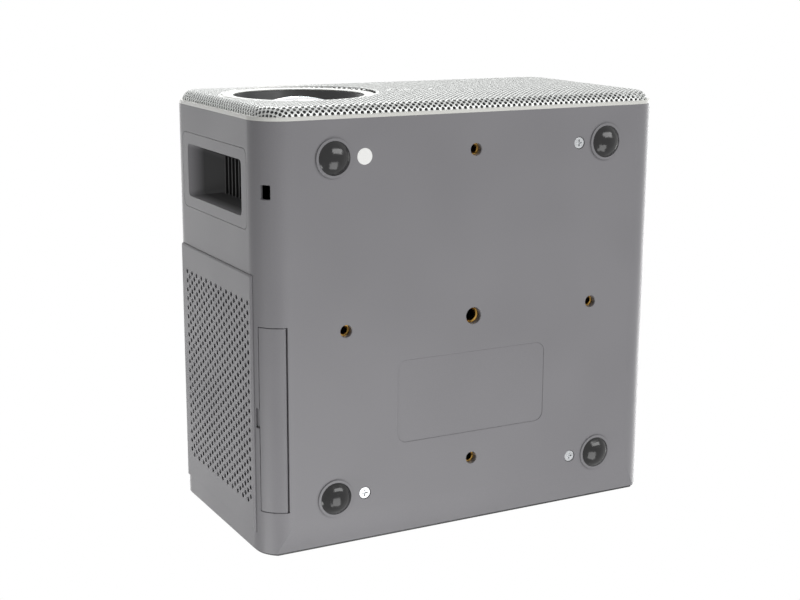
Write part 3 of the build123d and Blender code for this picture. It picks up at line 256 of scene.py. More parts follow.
def textured_abs(finish):
    """ABS from a spark-eroded mould: an even satin grey that glints in fine points."""
    material, tree, shader, place = new_material(
        "textured_abs", IOR=1.53, Specular_IOR_Level=0.3
    )
    grit, shade = casing_grit(tree, place, finish)
    flow = grain(tree, place, 55, detail=1.0)
    polish = between(tree, flow, 0.0, 0.35)
    shade = between(tree, polish, shade, finish.housing_edge, WHOLE)
    use(tree, shader, Base_Color=shade, Roughness=between(tree, flow, 0.40, 0.47))
    relief(tree, shader, grit, 0.018, soften_mm=0.45)
    return material


def duct_shaded_abs(finish):
    """The casing's ABS, with painted shade that darkens it to near black deep inside the air
    outlet.
    """
    material, tree, shader, place = new_material("duct_shaded_abs", IOR=1.53, Specular_IOR_Level=0.3)
    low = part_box("exhaust_outlet")[0]
    depth = add(tree, "SeparateXYZ", {"Vector": place}).outputs["X"]
    # painted shade: from 0.8 mm to 5 mm in from the outlet's face the grey turns to near black,
    # and the surface turns rougher
    inside = between(tree, depth, 0.0, 1.0, (low.x + 0.8 * MM, low.x + 5 * MM))
    grit, shade = casing_grit(tree, place, finish)
    use(tree, shader, Base_Color=between(tree, inside, shade, finish.duct_shade, WHOLE),
        Roughness=between(tree, inside, 0.43, 0.6, WHOLE))
    relief(tree, shader, grit, 0.018, soften_mm=0.45)
    return material


def frame_plastic(finish):
    """Pale satin ABS lip, sprayed matt black inside the mesh so that nothing shines through."""
    material, tree, shader, place = new_material("masked_satin_abs", IOR=1.53)
    low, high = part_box("front_mesh")
    centre = (high + low) / 2
    arm = (high - low) / 2 - Vector((MESH_CORNER, 0, MESH_CORNER))
    # how far a place lies past the straight parts of the mesh's rounded outline
    past = add(tree, "VectorMath", {0: place, 1: centre}, operation="SUBTRACT").outputs[0]
    past = add(tree, "VectorMath", {0: past}, operation="ABSOLUTE").outputs[0]
    past = add(tree, "VectorMath", {0: past, 1: arm}, operation="SUBTRACT").outputs[0]
    past = add(tree, "VectorMath", {0: past, 1: (0, 0, 0)}, operation="MAXIMUM").outputs[0]
    past = add(tree, "VectorMath", {0: past, 1: (1, 0, 1)}, operation="MULTIPLY").outputs[0]
    past = add(tree, "VectorMath", {0: past}, operation="LENGTH").outputs["Value"]
    mask = add(
        tree, "Math", {0: past, 1: MESH_CORNER - 0.6 * MM}, operation="LESS_THAN"
    ).outputs[0]
    grit = grain(tree, place, 0.5)
    pale = between(tree, grit, darker(finish.lip, 0.95), finish.lip)
    use(
        tree, shader,
        Base_Color=between(tree, mask, pale, finish.baffle, WHOLE),
        Roughness=between(tree, mask, 0.34, 0.9, WHOLE),
    )
    relief(tree, shader, grit, 0.01, soften_mm=0.35)
    return material


def coated_sheet(finish):
    """Steel sheet, punched, pressed and powder coated: silver grey with a faint orange peel."""
    material, tree, shader, place = new_material(
        "powder_coated_steel", Metallic=0.25, IOR=1.5
    )
    peel = grain(tree, place, 0.9, detail=1.5)
    flake = grain(tree, place, 0.3, detail=1.0)
    use(
        tree, shader,
        Base_Color=between(tree, flake, darker(finish.sheet, 0.9), finish.sheet),
        Roughness=between(tree, peel, 0.36, 0.46),
    )
    relief(tree, shader, peel, 0.012)
    return material


def blasted_aluminium(finish):
    """Bead-blasted and clear anodised aluminium: bright, soft sheen with no direction."""
    material, tree, shader, place = new_material("blasted_aluminium", Metallic=0.85)
    bead = grain(tree, place, 0.35, detail=2.5)
    use(
        tree, shader,
        Base_Color=between(tree, bead, darker(finish.ring, 0.88), finish.ring),
        Roughness=between(tree, bead, 0.42, 0.54),
    )
    relief(tree, shader, bead, 0.012, soften_mm=0.3)
    return material


def black_abs(finish):
    """Black ABS with a fine matt mould texture."""
    material, tree, shader, place = new_material("moulded_black_abs", IOR=1.53)
    grit = grain(tree, place, 0.5, detail=2.5)
    dust = grain(tree, place, 14, detail=3.0)
    shade = between(tree, grit, darker(finish.black, 0.75), finish.black)
    use(tree, shader, Base_Color=shade, Roughness=between(tree, dust, 0.42, 0.58))
    relief(tree, shader, grit, 0.015, soften_mm=0.35)
    return material


def rotor_abs(finish):
    """Glossy black ABS of the fan wheels, with a bloom of dust towards the blade tips."""
    material, tree, shader, place = new_material("polished_black_abs", IOR=1.53)
    dust = grain(tree, place, 6, detail=4.0)
    bloom = between(tree, dust, 0.0, 0.25)
    use(
        tree, shader,
        Base_Color=between(tree, bloom, darker(finish.black, 0.6), linear("#4a4a48"), WHOLE),
        Roughness=between(tree, dust, 0.18, 0.40),
    )
    relief(tree, shader, dust, 0.02)
    return material


def smoked_acrylic(finish):
    """Polished acrylic dyed nearly black, which only the sensors see through."""
    material, tree, shader, place = new_material(
        "smoked_acrylic", IOR=1.49, Coat_Weight=0.5, Coat_Roughness=0.02
    )
    haze = grain(tree, place, 3)
    use(
        tree, shader,
        Base_Color=between(tree, haze, linear("#0a0708"), linear("#120c10")),
        Roughness=between(tree, haze, 0.03, 0.08),
    )
    return material


def coated_glass(finish):
    """Polished glass with a coating that turns its reflection faintly violet and green."""
    material, tree, shader, place = new_material(
        "coated_optical_glass", IOR=1.52, Transmission_Weight=1.0, Roughness=0.0,
        Thin_Film_Thickness=390.0, Thin_Film_IOR=1.36,
    )
    wipe = grain(tree, place, 12, detail=2.0)
    use(
        tree, shader,
        Base_Color=between(tree, wipe, linear("#eef3f6"), linear("#f8fafa")),
        Roughness=between(tree, wipe, 0.0, 0.025),
    )
    return material


def grooved_acrylic(finish):
    """Clear acrylic cut with fine round grooves that bend light like a thick lens."""
    material, tree, shader, place = new_material(
        "grooved_acrylic", IOR=1.49, Transmission_Weight=0.9, Roughness=0.08
    )
    low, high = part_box("fresnel_lenses")
    middle = (low + high) / 2
    centred = add(
        tree, "Mapping", {"Vector": place, "Location": (-middle.x, 0, -middle.z)}
    ).outputs[0]
    # grooves are near 0.3 mm apart, drawn at 1.2 mm so that they show
    grooves = add(
        tree, "TexWave", {"Vector": centred, "Scale": 2 * pi / (1.2 * MM) / 20},
        wave_type="RINGS", rings_direction="Y", wave_profile="SAW",
    ).outputs["Fac"]
    shade = between(tree, grooves, linear("#e9eded"), linear("#f7f9f9"), WHOLE)
    use(tree, shader, Base_Color=shade)
    relief(tree, shader, grooves, 0.15)
    return material


def panel_glass(finish):
    """Liquid-crystal panel: dark polarised glass over a faint grid of picture cells."""
    material, tree, shader, place = new_material("panel_glass", IOR=1.5, Roughness=0.05)
    # cells are near 0.1 mm, drawn at 0.6 mm so that they show
    cells = add(
        tree, "TexBrick",
        {
            "Vector": add(tree, "Mapping", {"Vector": place, "Rotation": (pi / 2, 0, 0)}
                          ).outputs[0],
            "Scale": 1.0, "Brick Width": 0.6 * MM, "Row Height": 0.6 * MM,
            "Mortar Size": 0.06 * MM, "Color1": linear("#191c25"), "Color2": linear("#20242f"),
            "Mortar": linear("#0b0c10"),
        },
        offset=0.0,
    )
    use(tree, shader, Base_Color=cells.outputs["Color"])
    relief(tree, shader, cells.outputs["Fac"], 0.01)
    return material


def coated_mirror(finish):
    """Float glass with aluminium on its front, so it mirrors without a ghost."""
    material, tree, shader, place = new_material("front_coated_mirror", Metallic=1.0)
    wipe = grain(tree, place, 18)
    use(
        tree, shader,
        Base_Color=between(tree, wipe, linear("#dfe2e4"), linear("#eef0f1")),
        Roughness=between(tree, wipe, 0.01, 0.05),
    )
    return material


def foot_rubber(finish):
    """Nitrile rubber from a polished mould: black, wet-looking, dulled where it has rubbed."""
    material, tree, shader, place = new_material(
        "polished_rubber", IOR=1.5, Specular_IOR_Level=0.45
    )
    scuff = grain(tree, place, 2.2, detail=4.0)
    use(
        tree, shader,
        Base_Color=between(tree, scuff, darker(finish.rubber, 0.6), finish.rubber),
        Roughness=between(tree, scuff, 0.12, 0.2),
    )
    relief(tree, shader, scuff, 0.008)
    return material


def filter_polypropylene(finish):
    """Dark polypropylene with the waxy bloom of a quick moulding."""
    material, tree, shader, place = new_material("moulded_polypropylene", IOR=1.49)
    wax = grain(tree, place, 4, detail=2.0)
    use(
        tree, shader,
        Base_Color=between(tree, wax, linear("#2b2b2d"), linear("#39393b")),
        Roughness=between(tree, wax, 0.38, 0.52),
    )
    relief(tree, shader, wax, 0.02, soften_mm=0.3)
    return material


def open_foam(finish):
    """Open-cell polyurethane foam: pale strands, with painted shade in the black pits between
    them.
    """
    material, tree, shader, place = new_material("open_cell_foam", Roughness=0.95)
    cells = add(
        tree, "TexVoronoi", {"Vector": place, "Scale": 1 / (1.1 * MM)},
        feature="DISTANCE_TO_EDGE",
    ).outputs["Distance"]
    strands = between(tree, cells, 1.0, 0.0, (0.02, 0.22))
    # painted shade: the black of the pits stands in for the shade deep in the foam's cells
    shade = between(tree, strands, linear("#101011"), linear("#4b4b4d"), WHOLE)
    use(tree, shader, Base_Color=shade)
    relief(tree, shader, strands, 0.5)
    return material


def zinc_plate(finish):
    """Bright zinc on steel: silver, a little cloudy."""
    material, tree, shader, place = new_material("bright_zinc_plate", Metallic=1.0)
    cloudy = grain(tree, place, 0.9, detail=3.0)
    use(
        tree, shader,
        Base_Color=between(tree, cloudy, darker(finish.zinc, 0.82), finish.zinc),
        Roughness=between(tree, cloudy, 0.22, 0.38),
    )
    relief(tree, shader, cloudy, 0.01, soften_mm=0.12)
    return material


def turned_brass(finish):
    """Brass from the lathe: fine tool rings and a few darker, handled patches."""
    material, tree, shader, place = new_material("turned_brass", Metallic=1.0)
    tool = grain(tree, place, 2.0, detail=2.0, stretch=(0.05, 0.05, 14.0))
    patina = between(tree, grain(tree, place, 3.0, detail=3.0), 0.0, 0.7)
    use(
        tree, shader,
        Base_Color=between(tree, patina, finish.brass, darker(finish.brass, 0.55), WHOLE),
        Roughness=between(tree, tool, 0.20, 0.36),
    )
    relief(tree, shader, tool, 0.01)
    return material


def matt_film(finish):
    """White vinyl film, slightly lifted and dusty at its rim."""
    material, tree, shader, place = new_material("matt_vinyl_film", IOR=1.5)
    fibre = grain(tree, place, 0.7, detail=3.0)
    use(
        tree, shader,
        Base_Color=between(tree, fibre, darker(finish.seal, 0.96), finish.seal),
        Roughness=between(tree, fibre, 0.50, 0.62),
    )
    relief(tree, shader, fibre, 0.01)
    return material


def galvanised_sheet(finish):
    """Hot-dip galvanised steel: large grey crystals at odd angles."""
    material, tree, shader, place = new_material("galvanised_sheet", Metallic=1.0)
    spangle = add(tree, "TexVoronoi", {"Vector": place, "Scale": 1 / (7 * MM)})
    patch = add(tree, "SeparateColor", {"Color": spangle.outputs["Color"]}).outputs[0]
    use(
        tree, shader,
        Base_Color=between(tree, patch, linear("#9b9ea1"), linear("#c1c4c6"), WHOLE),
        Roughness=between(tree, patch, 0.34, 0.5, WHOLE),
    )
    relief(tree, shader, patch, 0.01)
    return material


def extruded_aluminium(finish):
    """Extruded aluminium: fine straight die lines along the fins."""
    material, tree, shader, place = new_material("extruded_aluminium", Metallic=1.0)
    lines = grain(tree, place, 0.8, detail=3.0, stretch=(1.0, 1.0, 0.03))
    use(
        tree, shader,
        Base_Color=between(tree, lines, linear("#b4b7b9"), linear("#cfd1d2")),
        Roughness=between(tree, lines, 0.28, 0.42),
    )
    relief(tree, shader, lines, 0.01)
    return material


def lamp_board(finish):
    """Aluminium-backed lamp board under white mask, toasted a little near the chips."""
    material, tree, shader, place = new_material("white_lamp_board", IOR=1.5, Roughness=0.35)
    heat = grain(tree, place, 9, detail=2.0)
    use(tree, shader, Base_Color=between(tree, heat, linear("#efeee6"), linear("#ddd7c2")))
    relief(tree, shader, heat, 0.02)
    return material


def drawn_steel(finish):
    """Deep-drawn steel can with faint marks along the draw."""
    material, tree, shader, place = new_material("drawn_steel", Metallic=1.0)
    marks = grain(tree, place, 0.7, detail=3.0, stretch=(1.0, 0.06, 1.0))
    use(
        tree, shader,
        Base_Color=between(tree, marks, linear("#8b8d90"), linear("#acaeb0")),
        Roughness=between(tree, marks, 0.24, 0.38),
    )
    relief(tree, shader, marks, 0.008)
    return material


def key_plastic(finish):
    """Dark satin ABS of the keys, polished by fingers towards the middle."""
    material, tree, shader, place = new_material("satin_dark_abs", IOR=1.53)
    touch = grain(tree, place, 5, detail=2.0)
    grit = grain(tree, place, 0.4)
    use(
        tree, shader,
        Base_Color=between(tree, grit, linear("#2e2f31"), linear("#3a3b3d")),
        Roughness=between(tree, touch, 0.28, 0.42),
    )
    relief(tree, shader, grit, 0.01, soften_mm=0.3)
    return material


def circuit_board(finish):
    """Glass-epoxy board: tracks under green mask, with tinned pads between them."""
    material, tree, shader, place = new_material("masked_glass_epoxy", IOR=1.55)
    lanes = add(
        tree, "TexBrick",
        {
            "Vector": place, "Scale": 1.0, "Brick Width": 7 * MM, "Row Height": 1.4 * MM,
            "Mortar Size": 0.25 * MM, "Color1": darker(finish.board, 0.75),
            "Color2": finish.board, "Mortar": darker(finish.board, 0.45),
        },
    )
    vias = add(tree, "TexVoronoi", {"Vector": place, "Scale": 1 / (4 * MM)}).outputs["Distance"]
    pads = between(tree, vias, 1.0, 0.0, (0.10, 0.13))
    use(
        tree, shader,
        Base_Color=between(tree, pads, lanes.outputs["Color"], linear("#c9cacb"), WHOLE),
        Metallic=pads,
        Roughness=between(tree, pads, 0.22, 0.35, WHOLE),
    )
    relief(tree, shader, lanes.outputs["Fac"], 0.03)
    return material


def stamped_steel(finish):
    """Stamped steel under thin black enamel."""
    material, tree, shader, place = new_material("black_enamelled_steel", IOR=1.5)
    peel = grain(tree, place, 1.4)
    use(
        tree, shader,
        Base_Color=between(tree, peel, linear("#1c1c1e"), linear("#27272a")),
        Roughness=between(tree, peel, 0.25, 0.36),
    )
    relief(tree, shader, peel, 0.015)
    return material


def cone_paper(finish):
    """Pressed paper pulp: long dark fibres with a dry, uneven face."""
    material, tree, shader, place = new_material("pressed_pulp", Roughness=0.85)
    fibre = grain(tree, place, 0.6, detail=5.0, stretch=(1.0, 0.3, 1.0))
    use(tree, shader, Base_Color=between(tree, fibre, linear("#232323"), linear("#3d3c3b")))
    relief(tree, shader, fibre, 0.06)
    return material


def ferrite(finish):
    """Sintered ferrite: dull charcoal with tiny pores."""
    material, tree, shader, place = new_material("sintered_ferrite", IOR=2.0, Roughness=0.6)
    pores = grain(tree, place, 0.5, detail=4.0)
    use(tree, shader, Base_Color=between(tree, pores, linear("#262627"), linear("#3b3b3c")))
    relief(tree, shader, pores, 0.04)
    return material


# Modelling helpers


def start(name, piece):
    """Name a new primitive and apply the place and turn it was added with."""
    piece.name = piece.data.name = name
    bpy.ops.object.transform_apply(location=True, rotation=True, scale=True)
    return piece


def pick(piece, kind, wanted):
    """Enter edit mode with only the wanted vertices or faces selected."""
    bpy.ops.object.mode_set(mode="EDIT")
    bpy.ops.mesh.select_mode(type=kind)
    bpy.ops.mesh.select_all(action="DESELECT")
    bpy.ops.object.mode_set(mode="OBJECT")
    parts = {"VERT": piece.data.vertices, "FACE": piece.data.polygons}[kind]
    for part in parts:
        part.select = wanted(part)
    bpy.ops.object.mode_set(mode="EDIT")


def finish_shape():
    """Close the active piece's seams, point its faces outwards and smooth what is round."""
    bpy.ops.object.mode_set(mode="EDIT")
    bpy.ops.mesh.select_all(action="SELECT")
    bpy.ops.mesh.remove_doubles(threshold=0.002 * MM)
    bpy.ops.mesh.normals_make_consistent(inside=False)
    bpy.ops.object.mode_set(mode="OBJECT")
    bpy.ops.object.shade_smooth_by_angle(angle=SMOOTH)


def turned(name, place, profile, bore=False, sides=48):
    """A piece drawn up ring by ring through (radius, height) points along +Z from its place."""
    bpy.ops.object.select_all(action="DESELECT")
    radius, height = profile[0]
    bpy.ops.mesh.primitive_circle_add(
        vertices=sides, radius=radius, fill_type="NOTHING" if bore else "NGON",
        location=place + Vector((0, 0, height)),
    )
    piece = start(name, bpy.context.object)
    bpy.ops.object.mode_set(mode="EDIT")
    bpy.ops.mesh.select_all(action="SELECT")
    for next_radius, next_height in profile[1:]:
        bpy.ops.mesh.extrude_region_move(
            TRANSFORM_OT_translate={"value": (0, 0, next_height - height)}
        )
        bpy.ops.transform.resize(
            value=(next_radius / radius, next_radius / radius, 1), center_override=place
        )
        radius, height = next_radius, next_height
    if bore:
        bpy.ops.mesh.select_mode(type="EDGE")
        bpy.ops.mesh.select_all(action="DESELECT")
        bpy.ops.mesh.select_non_manifold()
        bpy.ops.mesh.bridge_edge_loops()
    bpy.ops.object.mode_set(mode="OBJECT")
    finish_shape()
    return piece


def copied(piece, name, shift):
    """A copy with its own mesh, moved."""
    copy = piece.copy()
    copy.data = piece.data.copy()
    copy.name = copy.data.name = name
    copy.data.transform(Matrix.Translation(shift))
    bpy.context.scene.collection.objects.link(copy)
    return copy


def joined(pieces):
    """Several pieces as one object, the first one."""
    bpy.ops.object.select_all(action="DESELECT")
    for piece in pieces:
        piece.select_set(True)
    bpy.context.view_layer.objects.active = pieces[0]
    bpy.ops.object.join()
    return pieces[0]


def dress(piece, node, slot):
    """Let a finished piece of the casing stand for a CAD node, in its slot's material."""
    piece.data.materials.clear()
    piece.data.materials.append(PROJECTOR_OT_finish_parts.made[slot])
    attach(piece, "case")
    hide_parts(node)


def solids_of(node):
    """Centre and half size of each separate solid in a CAD node that holds like solids."""
    mesh = frame["nodes"][node].data.copy()
    holder = bpy.data.objects.new("solids", mesh)
    bpy.context.scene.collection.objects.link(holder)
    bpy.ops.object.select_all(action="DESELECT")
    holder.select_set(True)
    bpy.context.view_layer.objects.active = holder
    bpy.ops.object.mode_set(mode="EDIT")
    bpy.ops.mesh.select_all(action="SELECT")
    bpy.ops.mesh.remove_doubles(threshold=0.001 * MM)
    bpy.ops.mesh.separate(type="LOOSE")
    bpy.ops.object.mode_set(mode="OBJECT")
    boxes = []
    for part in list(bpy.context.selected_objects):
        corners = [Vector(corner) for corner in part.bound_box]
        low = Vector(map(min, zip(*corners)))
        high = Vector(map(max, zip(*corners)))
        boxes.append(((low + high) / 2, (high - low) / 2))
        bpy.data.meshes.remove(part.data)
    return sorted(boxes, key=lambda each: (each[0].y, each[0].x))


class ProjectorStep:
    """What the projector's operators share"""

    bl_options = {"REGISTER", "UNDO"}

    def execute(self, context):
        """Start with nothing selected, then do the step's own work."""
        bpy.ops.object.select_all(action="DESELECT")
        self.make(context.scene)
        return {"FINISHED"}


# Pieces


class PROJECTOR_OT_finish_parts(ProjectorStep, Operator):
    """Give every carried-over part the finish of its real material"""

    bl_idname = "projector.finish_parts"
    bl_label = "Finish the parts"

    finishes = {
        "housing_plastic": textured_abs,
        "frame_plastic": frame_plastic,
        "front_sheet": coated_sheet,
        "trim_metal": blasted_aluminium,
        "black_plastic": black_abs,
        "rotor_plastic": rotor_abs,
        "dark_window": smoked_acrylic,
        "coated_glass": coated_glass,
        "clear_acrylic": grooved_acrylic,
        "panel_glass": panel_glass,
        "mirror_glass": coated_mirror,
        "foot_rubber": foot_rubber,
        "filter_plastic": filter_polypropylene,
        "foam": open_foam,
        "zinc_steel": zinc_plate,
        "brass": turned_brass,
        "seal_paper": matt_film,
        "tray_steel": galvanised_sheet,
        "heatsink_metal": extruded_aluminium,
        "lamp_board": lamp_board,
        "motor_steel": drawn_steel,
        "key_plastic": key_plastic,
        "circuit_board": circuit_board,
        "speaker_steel": stamped_steel,
        "cone_paper": cone_paper,
        "magnet": ferrite,
    }
    made = {}

    def make(self, scene):
        for slot_name, recipe in self.finishes.items():
            self.made[slot_name] = recipe(scene.projector_finish)
        for part in frame["record"]["subparts"]:
            node = frame["nodes"][part["node"]]
            material = self.made[part["material_slot"]]
            # the air outlet gets the casing's ABS with painted shade deep inside it
            if part["node"] == "exhaust_outlet":
                material = duct_shaded_abs(scene.projector_finish)
            if not node.material_slots:
                node.data.materials.append(material)
            for holder in node.material_slots:
                holder.material = material


class PROJECTOR_OT_front_sheet(ProjectorStep, Operator):
    """Punch the front from flat sheet and press its edge round"""

    bl_idname = "projector.front_sheet"
    bl_label = "Perforated front"

    def make(self, scene):
        sheet = scene.projector_sheet
        low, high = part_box("front_mesh")
        self.face = low.y
        self.middle = Vector(((low.x + high.x) / 2, 0, (low.z + high.z) / 2))
        self.dome = sheet.dome
        self.start, self.end = sheet.edge_start, sheet.edge_end
        self.round = (high.y - low.y - sheet.dome) / (cos(self.start) - cos(self.end))
        edge = self.round * (sin(self.end) - sin(self.start))
        self.corner = sheet.corner - edge
        self.flat_x = (high.x - low.x) / 2 - edge
        self.flat_z = (high.z - low.z) / 2 - edge
        self.arc = self.round * (self.end - self.start)
        self.reach = self.arc + sheet.tuck
        self.openings = self.places_of_openings(sheet)
        blank = self.blank(sheet)
        self.trim(blank)
        self.punch(blank, sheet)
        for vertex in blank.data.vertices:
            vertex.co = self.pressed(vertex.co)
        gauge = blank.modifiers.new("gauge", "SOLIDIFY")
        gauge.thickness = sheet.thickness
        gauge.offset = -1
        bpy.ops.object.modifier_apply(modifier="gauge")
        bpy.ops.object.shade_smooth_by_angle(angle=sheet.smooth)
        dress(blank, "front_mesh", "front_sheet")

    def places_of_openings(self, sheet):
        """Centre, half length of the straight part, and radius of each opening."""
        openings = []
        for node, gap in (
            ("lens_trim_ring", sheet.lens_gap),
            ("autofocus_window", 0.0),
            ("ranging_window", 0.0),
        ):
            low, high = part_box(node)
            radius = (high.z - low.z) / 2
            straight = (high.x - low.x) / 2 - radius
            centre = Vector(((low.x + high.x) / 2, 0, (low.z + high.z) / 2))
            openings.append((centre, straight, radius + gap))
        return openings

    def beyond(self, place):
        """How far a place of the flat blank lies outside the flat face, and which way."""
        x, z = place.x - self.middle.x, place.z - self.middle.z
        over_x = abs(x) - self.flat_x + self.corner
        over_z = abs(z) - self.flat_z + self.corner
        out = Vector((max(over_x, 0) * (1 if x > 0 else -1), 0,
                      max(over_z, 0) * (1 if z > 0 else -1)))
        away = out.length + min(max(over_x, over_z), 0) - self.corner
        return away, out.normalized()

    def into_opening(self, place):
        """How deep a place lies inside the nearest opening, and the way out of it."""
        deepest, way = -1.0, Vector()
        for centre, straight, radius in self.openings:
            across = max(-straight, min(straight, place.x - centre.x))
            out = Vector((place.x - centre.x - across, 0, place.z - centre.z))
            if radius - out.length > deepest:
                deepest, way = radius - out.length, out.normalized()
        return deepest, way

    def blank(self, sheet):
        """The flat blank, a grid with a hole's centre on every other crossing."""
        bpy.ops.object.select_all(action="DESELECT")
        width, height = 2 * (self.flat_x + self.reach), 2 * (self.flat_z + self.reach)
        self.columns = round(width / sheet.column)
        self.rows = round(height / sheet.row)
        bpy.ops.mesh.primitive_grid_add(
            x_subdivisions=self.columns, y_subdivisions=self.rows, size=1,
            location=(self.middle.x, self.face, self.middle.z), rotation=(pi / 2, 0, 0),
        )
        blank = start("front_mesh_sheet", bpy.context.object)
        bpy.ops.object.mode_set(mode="EDIT")
        bpy.ops.mesh.select_all(action="SELECT")
        bpy.ops.transform.resize(
            value=(width, 1, height), center_override=(self.middle.x, self.face, self.middle.z)
        )
        bpy.ops.object.mode_set(mode="OBJECT")
        self.step_x, self.step_z = width / self.columns, height / self.rows
        return blank

    def trim(self, blank):
        """Cut away what lies past the blank's outline or in an opening."""
        places = [vertex.co.copy() for vertex in blank.data.vertices]
        past = [self.beyond(place)[0] >= self.reach for place in places]
        open_ = [self.into_opening(place)[0] >= 0 for place in places]
        pick(
            blank, "FACE",
            lambda cell: all(past[i] for i in cell.vertices)
            or all(open_[i] for i in cell.vertices),
        )
        bpy.ops.mesh.delete(type="FACE")
        bpy.ops.object.mode_set(mode="OBJECT")

    def punch(self, blank, sheet):
        """Punch the round holes, then bring the cut edges to the outlines."""
        margin = 0.75 * sheet.column
        rim = 0.3 * sheet.column
        left = self.middle.x - self.columns * self.step_x / 2
        foot = self.middle.z - self.rows * self.step_z / 2

        def is_hole(vertex):
            column = round((vertex.co.x - left) / self.step_x)
            row = round((vertex.co.z - foot) / self.step_z)
            return (
                (column + row) % 2 == 0
                and self.beyond(vertex.co)[0] < self.reach - rim
                and self.into_opening(vertex.co)[0] < -margin
            )

        pick(blank, "VERT", is_hole)
        # the bevel's profile that bulges away from the corner makes its eight points a circle
        round_hole = (1 - 1 / sqrt(2)) ** 2
        bpy.ops.mesh.bevel(
            offset=sheet.hole / 2, segments=2, affect="VERTICES", profile=round_hole
        )
        bpy.ops.mesh.delete(type="FACE")
        bpy.ops.object.mode_set(mode="OBJECT")
        for vertex in blank.data.vertices:
            away, out = self.beyond(vertex.co)
            if away > self.reach:
                vertex.co -= out * (away - self.reach)
            deep, out = self.into_opening(vertex.co)
            if deep > 0:
                vertex.co += out * deep

    def sunk(self, place):
        """How far the domed face lies behind its middle at a place."""
        x = min(abs(place.x - self.middle.x) / self.flat_x, 1)
        z = min(abs(place.z - self.middle.z) / self.flat_z, 1)
        return self.dome * (1 - (1 - x**3) * (1 - z**3))

    def pressed(self, place):
        """Where a place of the flat blank goes when face and edge are pressed."""
        away, out = self.beyond(place)
        across, down = away, self.sunk(place)
        if away > 0:
            slope = self.start + min(away, self.arc) / self.round
            across = self.round * (sin(slope) - sin(self.start))
            down += self.round * (cos(self.start) - cos(slope)) + max(away - self.arc, 0)
        return place + out * (across - away) + Vector((0, down, 0))


class PROJECTOR_OT_feet(ProjectorStep, Operator):
    """Turn the rubber feet, domed and ringed with fine grooves"""

    bl_idname = "projector.feet"
    bl_label = "Rubber feet"

    def make(self, scene):
        hardware = scene.projector_hardware
        boxes = solids_of("rubber_feet")
        centre, half = boxes[0]
        place = Vector((centre.x, centre.y, 0))
        radius, top = half.x, centre.z + half.z
        rim = hardware.foot_rim
        dome = (radius**2 + rim**2) / (2 * rim)
        # the side stays straight to just above the rim, which keeps the rim's edge crisp
        profile = [(radius, top), (radius, rim + 0.2 * MM)]
        per_groove = 6
        half_way = per_groove // 2
        steps = per_groove * hardware.foot_grooves
        # the last ring stops short of the middle, so that the dome has no point
        least = 0.02
        for step in range(steps + 1):
            ring = radius * max(1 - step / steps, least)
            grooved = step % per_groove == half_way and step < steps - half_way
            sink = hardware.groove_depth if grooved else 0
            profile.append((ring - sink, dome - sqrt(dome**2 - ring**2) + sink))
        foot = turned("foot", place, profile)
        feet = [foot] + [
            copied(foot, "foot_" + str(i), Vector((each[0].x - centre.x,
                                                   each[0].y - centre.y, 0)))
            for i, each in enumerate(boxes[1:], 2)
        ]
        pads = joined(feet)
        pads.name = pads.data.name = "domed_feet"
        dress(pads, "rubber_feet", "foot_rubber")


class PROJECTOR_OT_inserts(ProjectorStep, Operator):
    """Turn the brass inserts and cut their threads"""

    bl_idname = "projector.inserts"
    bl_label = "Threaded inserts"

    def make(self, scene):
        hardware = scene.projector_hardware
        self.cut("tripod_insert", "tripod_thread_insert", hardware.tripod_pitch,
                 hardware.tripod_bore)
        self.cut("ceiling_inserts", "ceiling_thread_inserts", hardware.ceiling_pitch,
                 hardware.ceiling_bore)

    def cut(self, node, name, pitch, bore):
        """One insert like the node's first solid, then a copy at each of the others."""
        boxes = solids_of(node)
        centre, half = boxes[0]
        low, high, outer = centre.z - half.z, centre.z + half.z, half.x
        lead = 0.5 * pitch
        place = Vector((centre.x, centre.y, 0))
        shell = turned(
            name, place,
            [
                (bore + lead, low), (outer - lead / 2, low), (outer, low + lead / 2),
                (outer, high - lead), (outer - lead, high), (bore, high), (bore, low + lead),
            ],
            bore=True,
        )
        made = joined([shell, self.thread(place, pitch, bore, low + lead, high)])
        inserts = [made] + [
            copied(made, name + "_" + str(i), each[0] - centre)
            for i, each in enumerate(boxes[1:], 2)
        ]
        piece = joined(inserts)
        piece.name = piece.data.name = name
        dress(piece, node, "brass")

    def thread(self, place, pitch, bore, low, high):
        """A ridge of three sides wound up the bore."""
        bpy.ops.object.select_all(action="DESELECT")
        size = 0.5 * pitch
        turns = int((high - low) / pitch) - 1
        bpy.ops.mesh.primitive_circle_add(
            vertices=3, radius=size, fill_type="NGON", rotation=(pi / 2, 0, -pi / 2),
            location=(0, 0, 0),
        )
        ridge = start("thread", bpy.context.object)
        bpy.ops.object.mode_set(mode="EDIT")
        bpy.ops.mesh.select_all(action="SELECT")
        bpy.ops.transform.translate(value=(bore + 0.1 * size, 0, 0))
        bpy.ops.object.mode_set(mode="OBJECT")
        winding = ridge.modifiers.new("winding", "SCREW")
        winding.angle = 2 * pi
        winding.screw_offset = pitch
        winding.iterations = turns
        winding.steps = winding.render_steps = 32
        winding.use_merge_vertices = True
        bpy.ops.object.modifier_apply(modifier="winding")
        ridge.data.transform(Matrix.Translation(place + Vector((0, 0, low + pitch / 2))))
        return ridge


# Stage


def lamp(name, place, aim, width, height, watts):
    """A soft lamp at a place, turned to an aim, its width kept as near to X as it can be."""
    light = bpy.data.lights.new(name, "AREA")
    light.shape = "RECTANGLE"
    light.size = width
    light.size_y = height
    light.energy = watts
    holder = bpy.data.objects.new(name, light)
    holder.location = place
    back = (Vector(place) - Vector(aim)).normalized()
    side = (Vector((1, 0, 0)) - back * back.x).normalized()
    holder.rotation_euler = Matrix((side, back.cross(side), back)).transposed().to_euler()
    bpy.context.scene.collection.objects.link(holder)


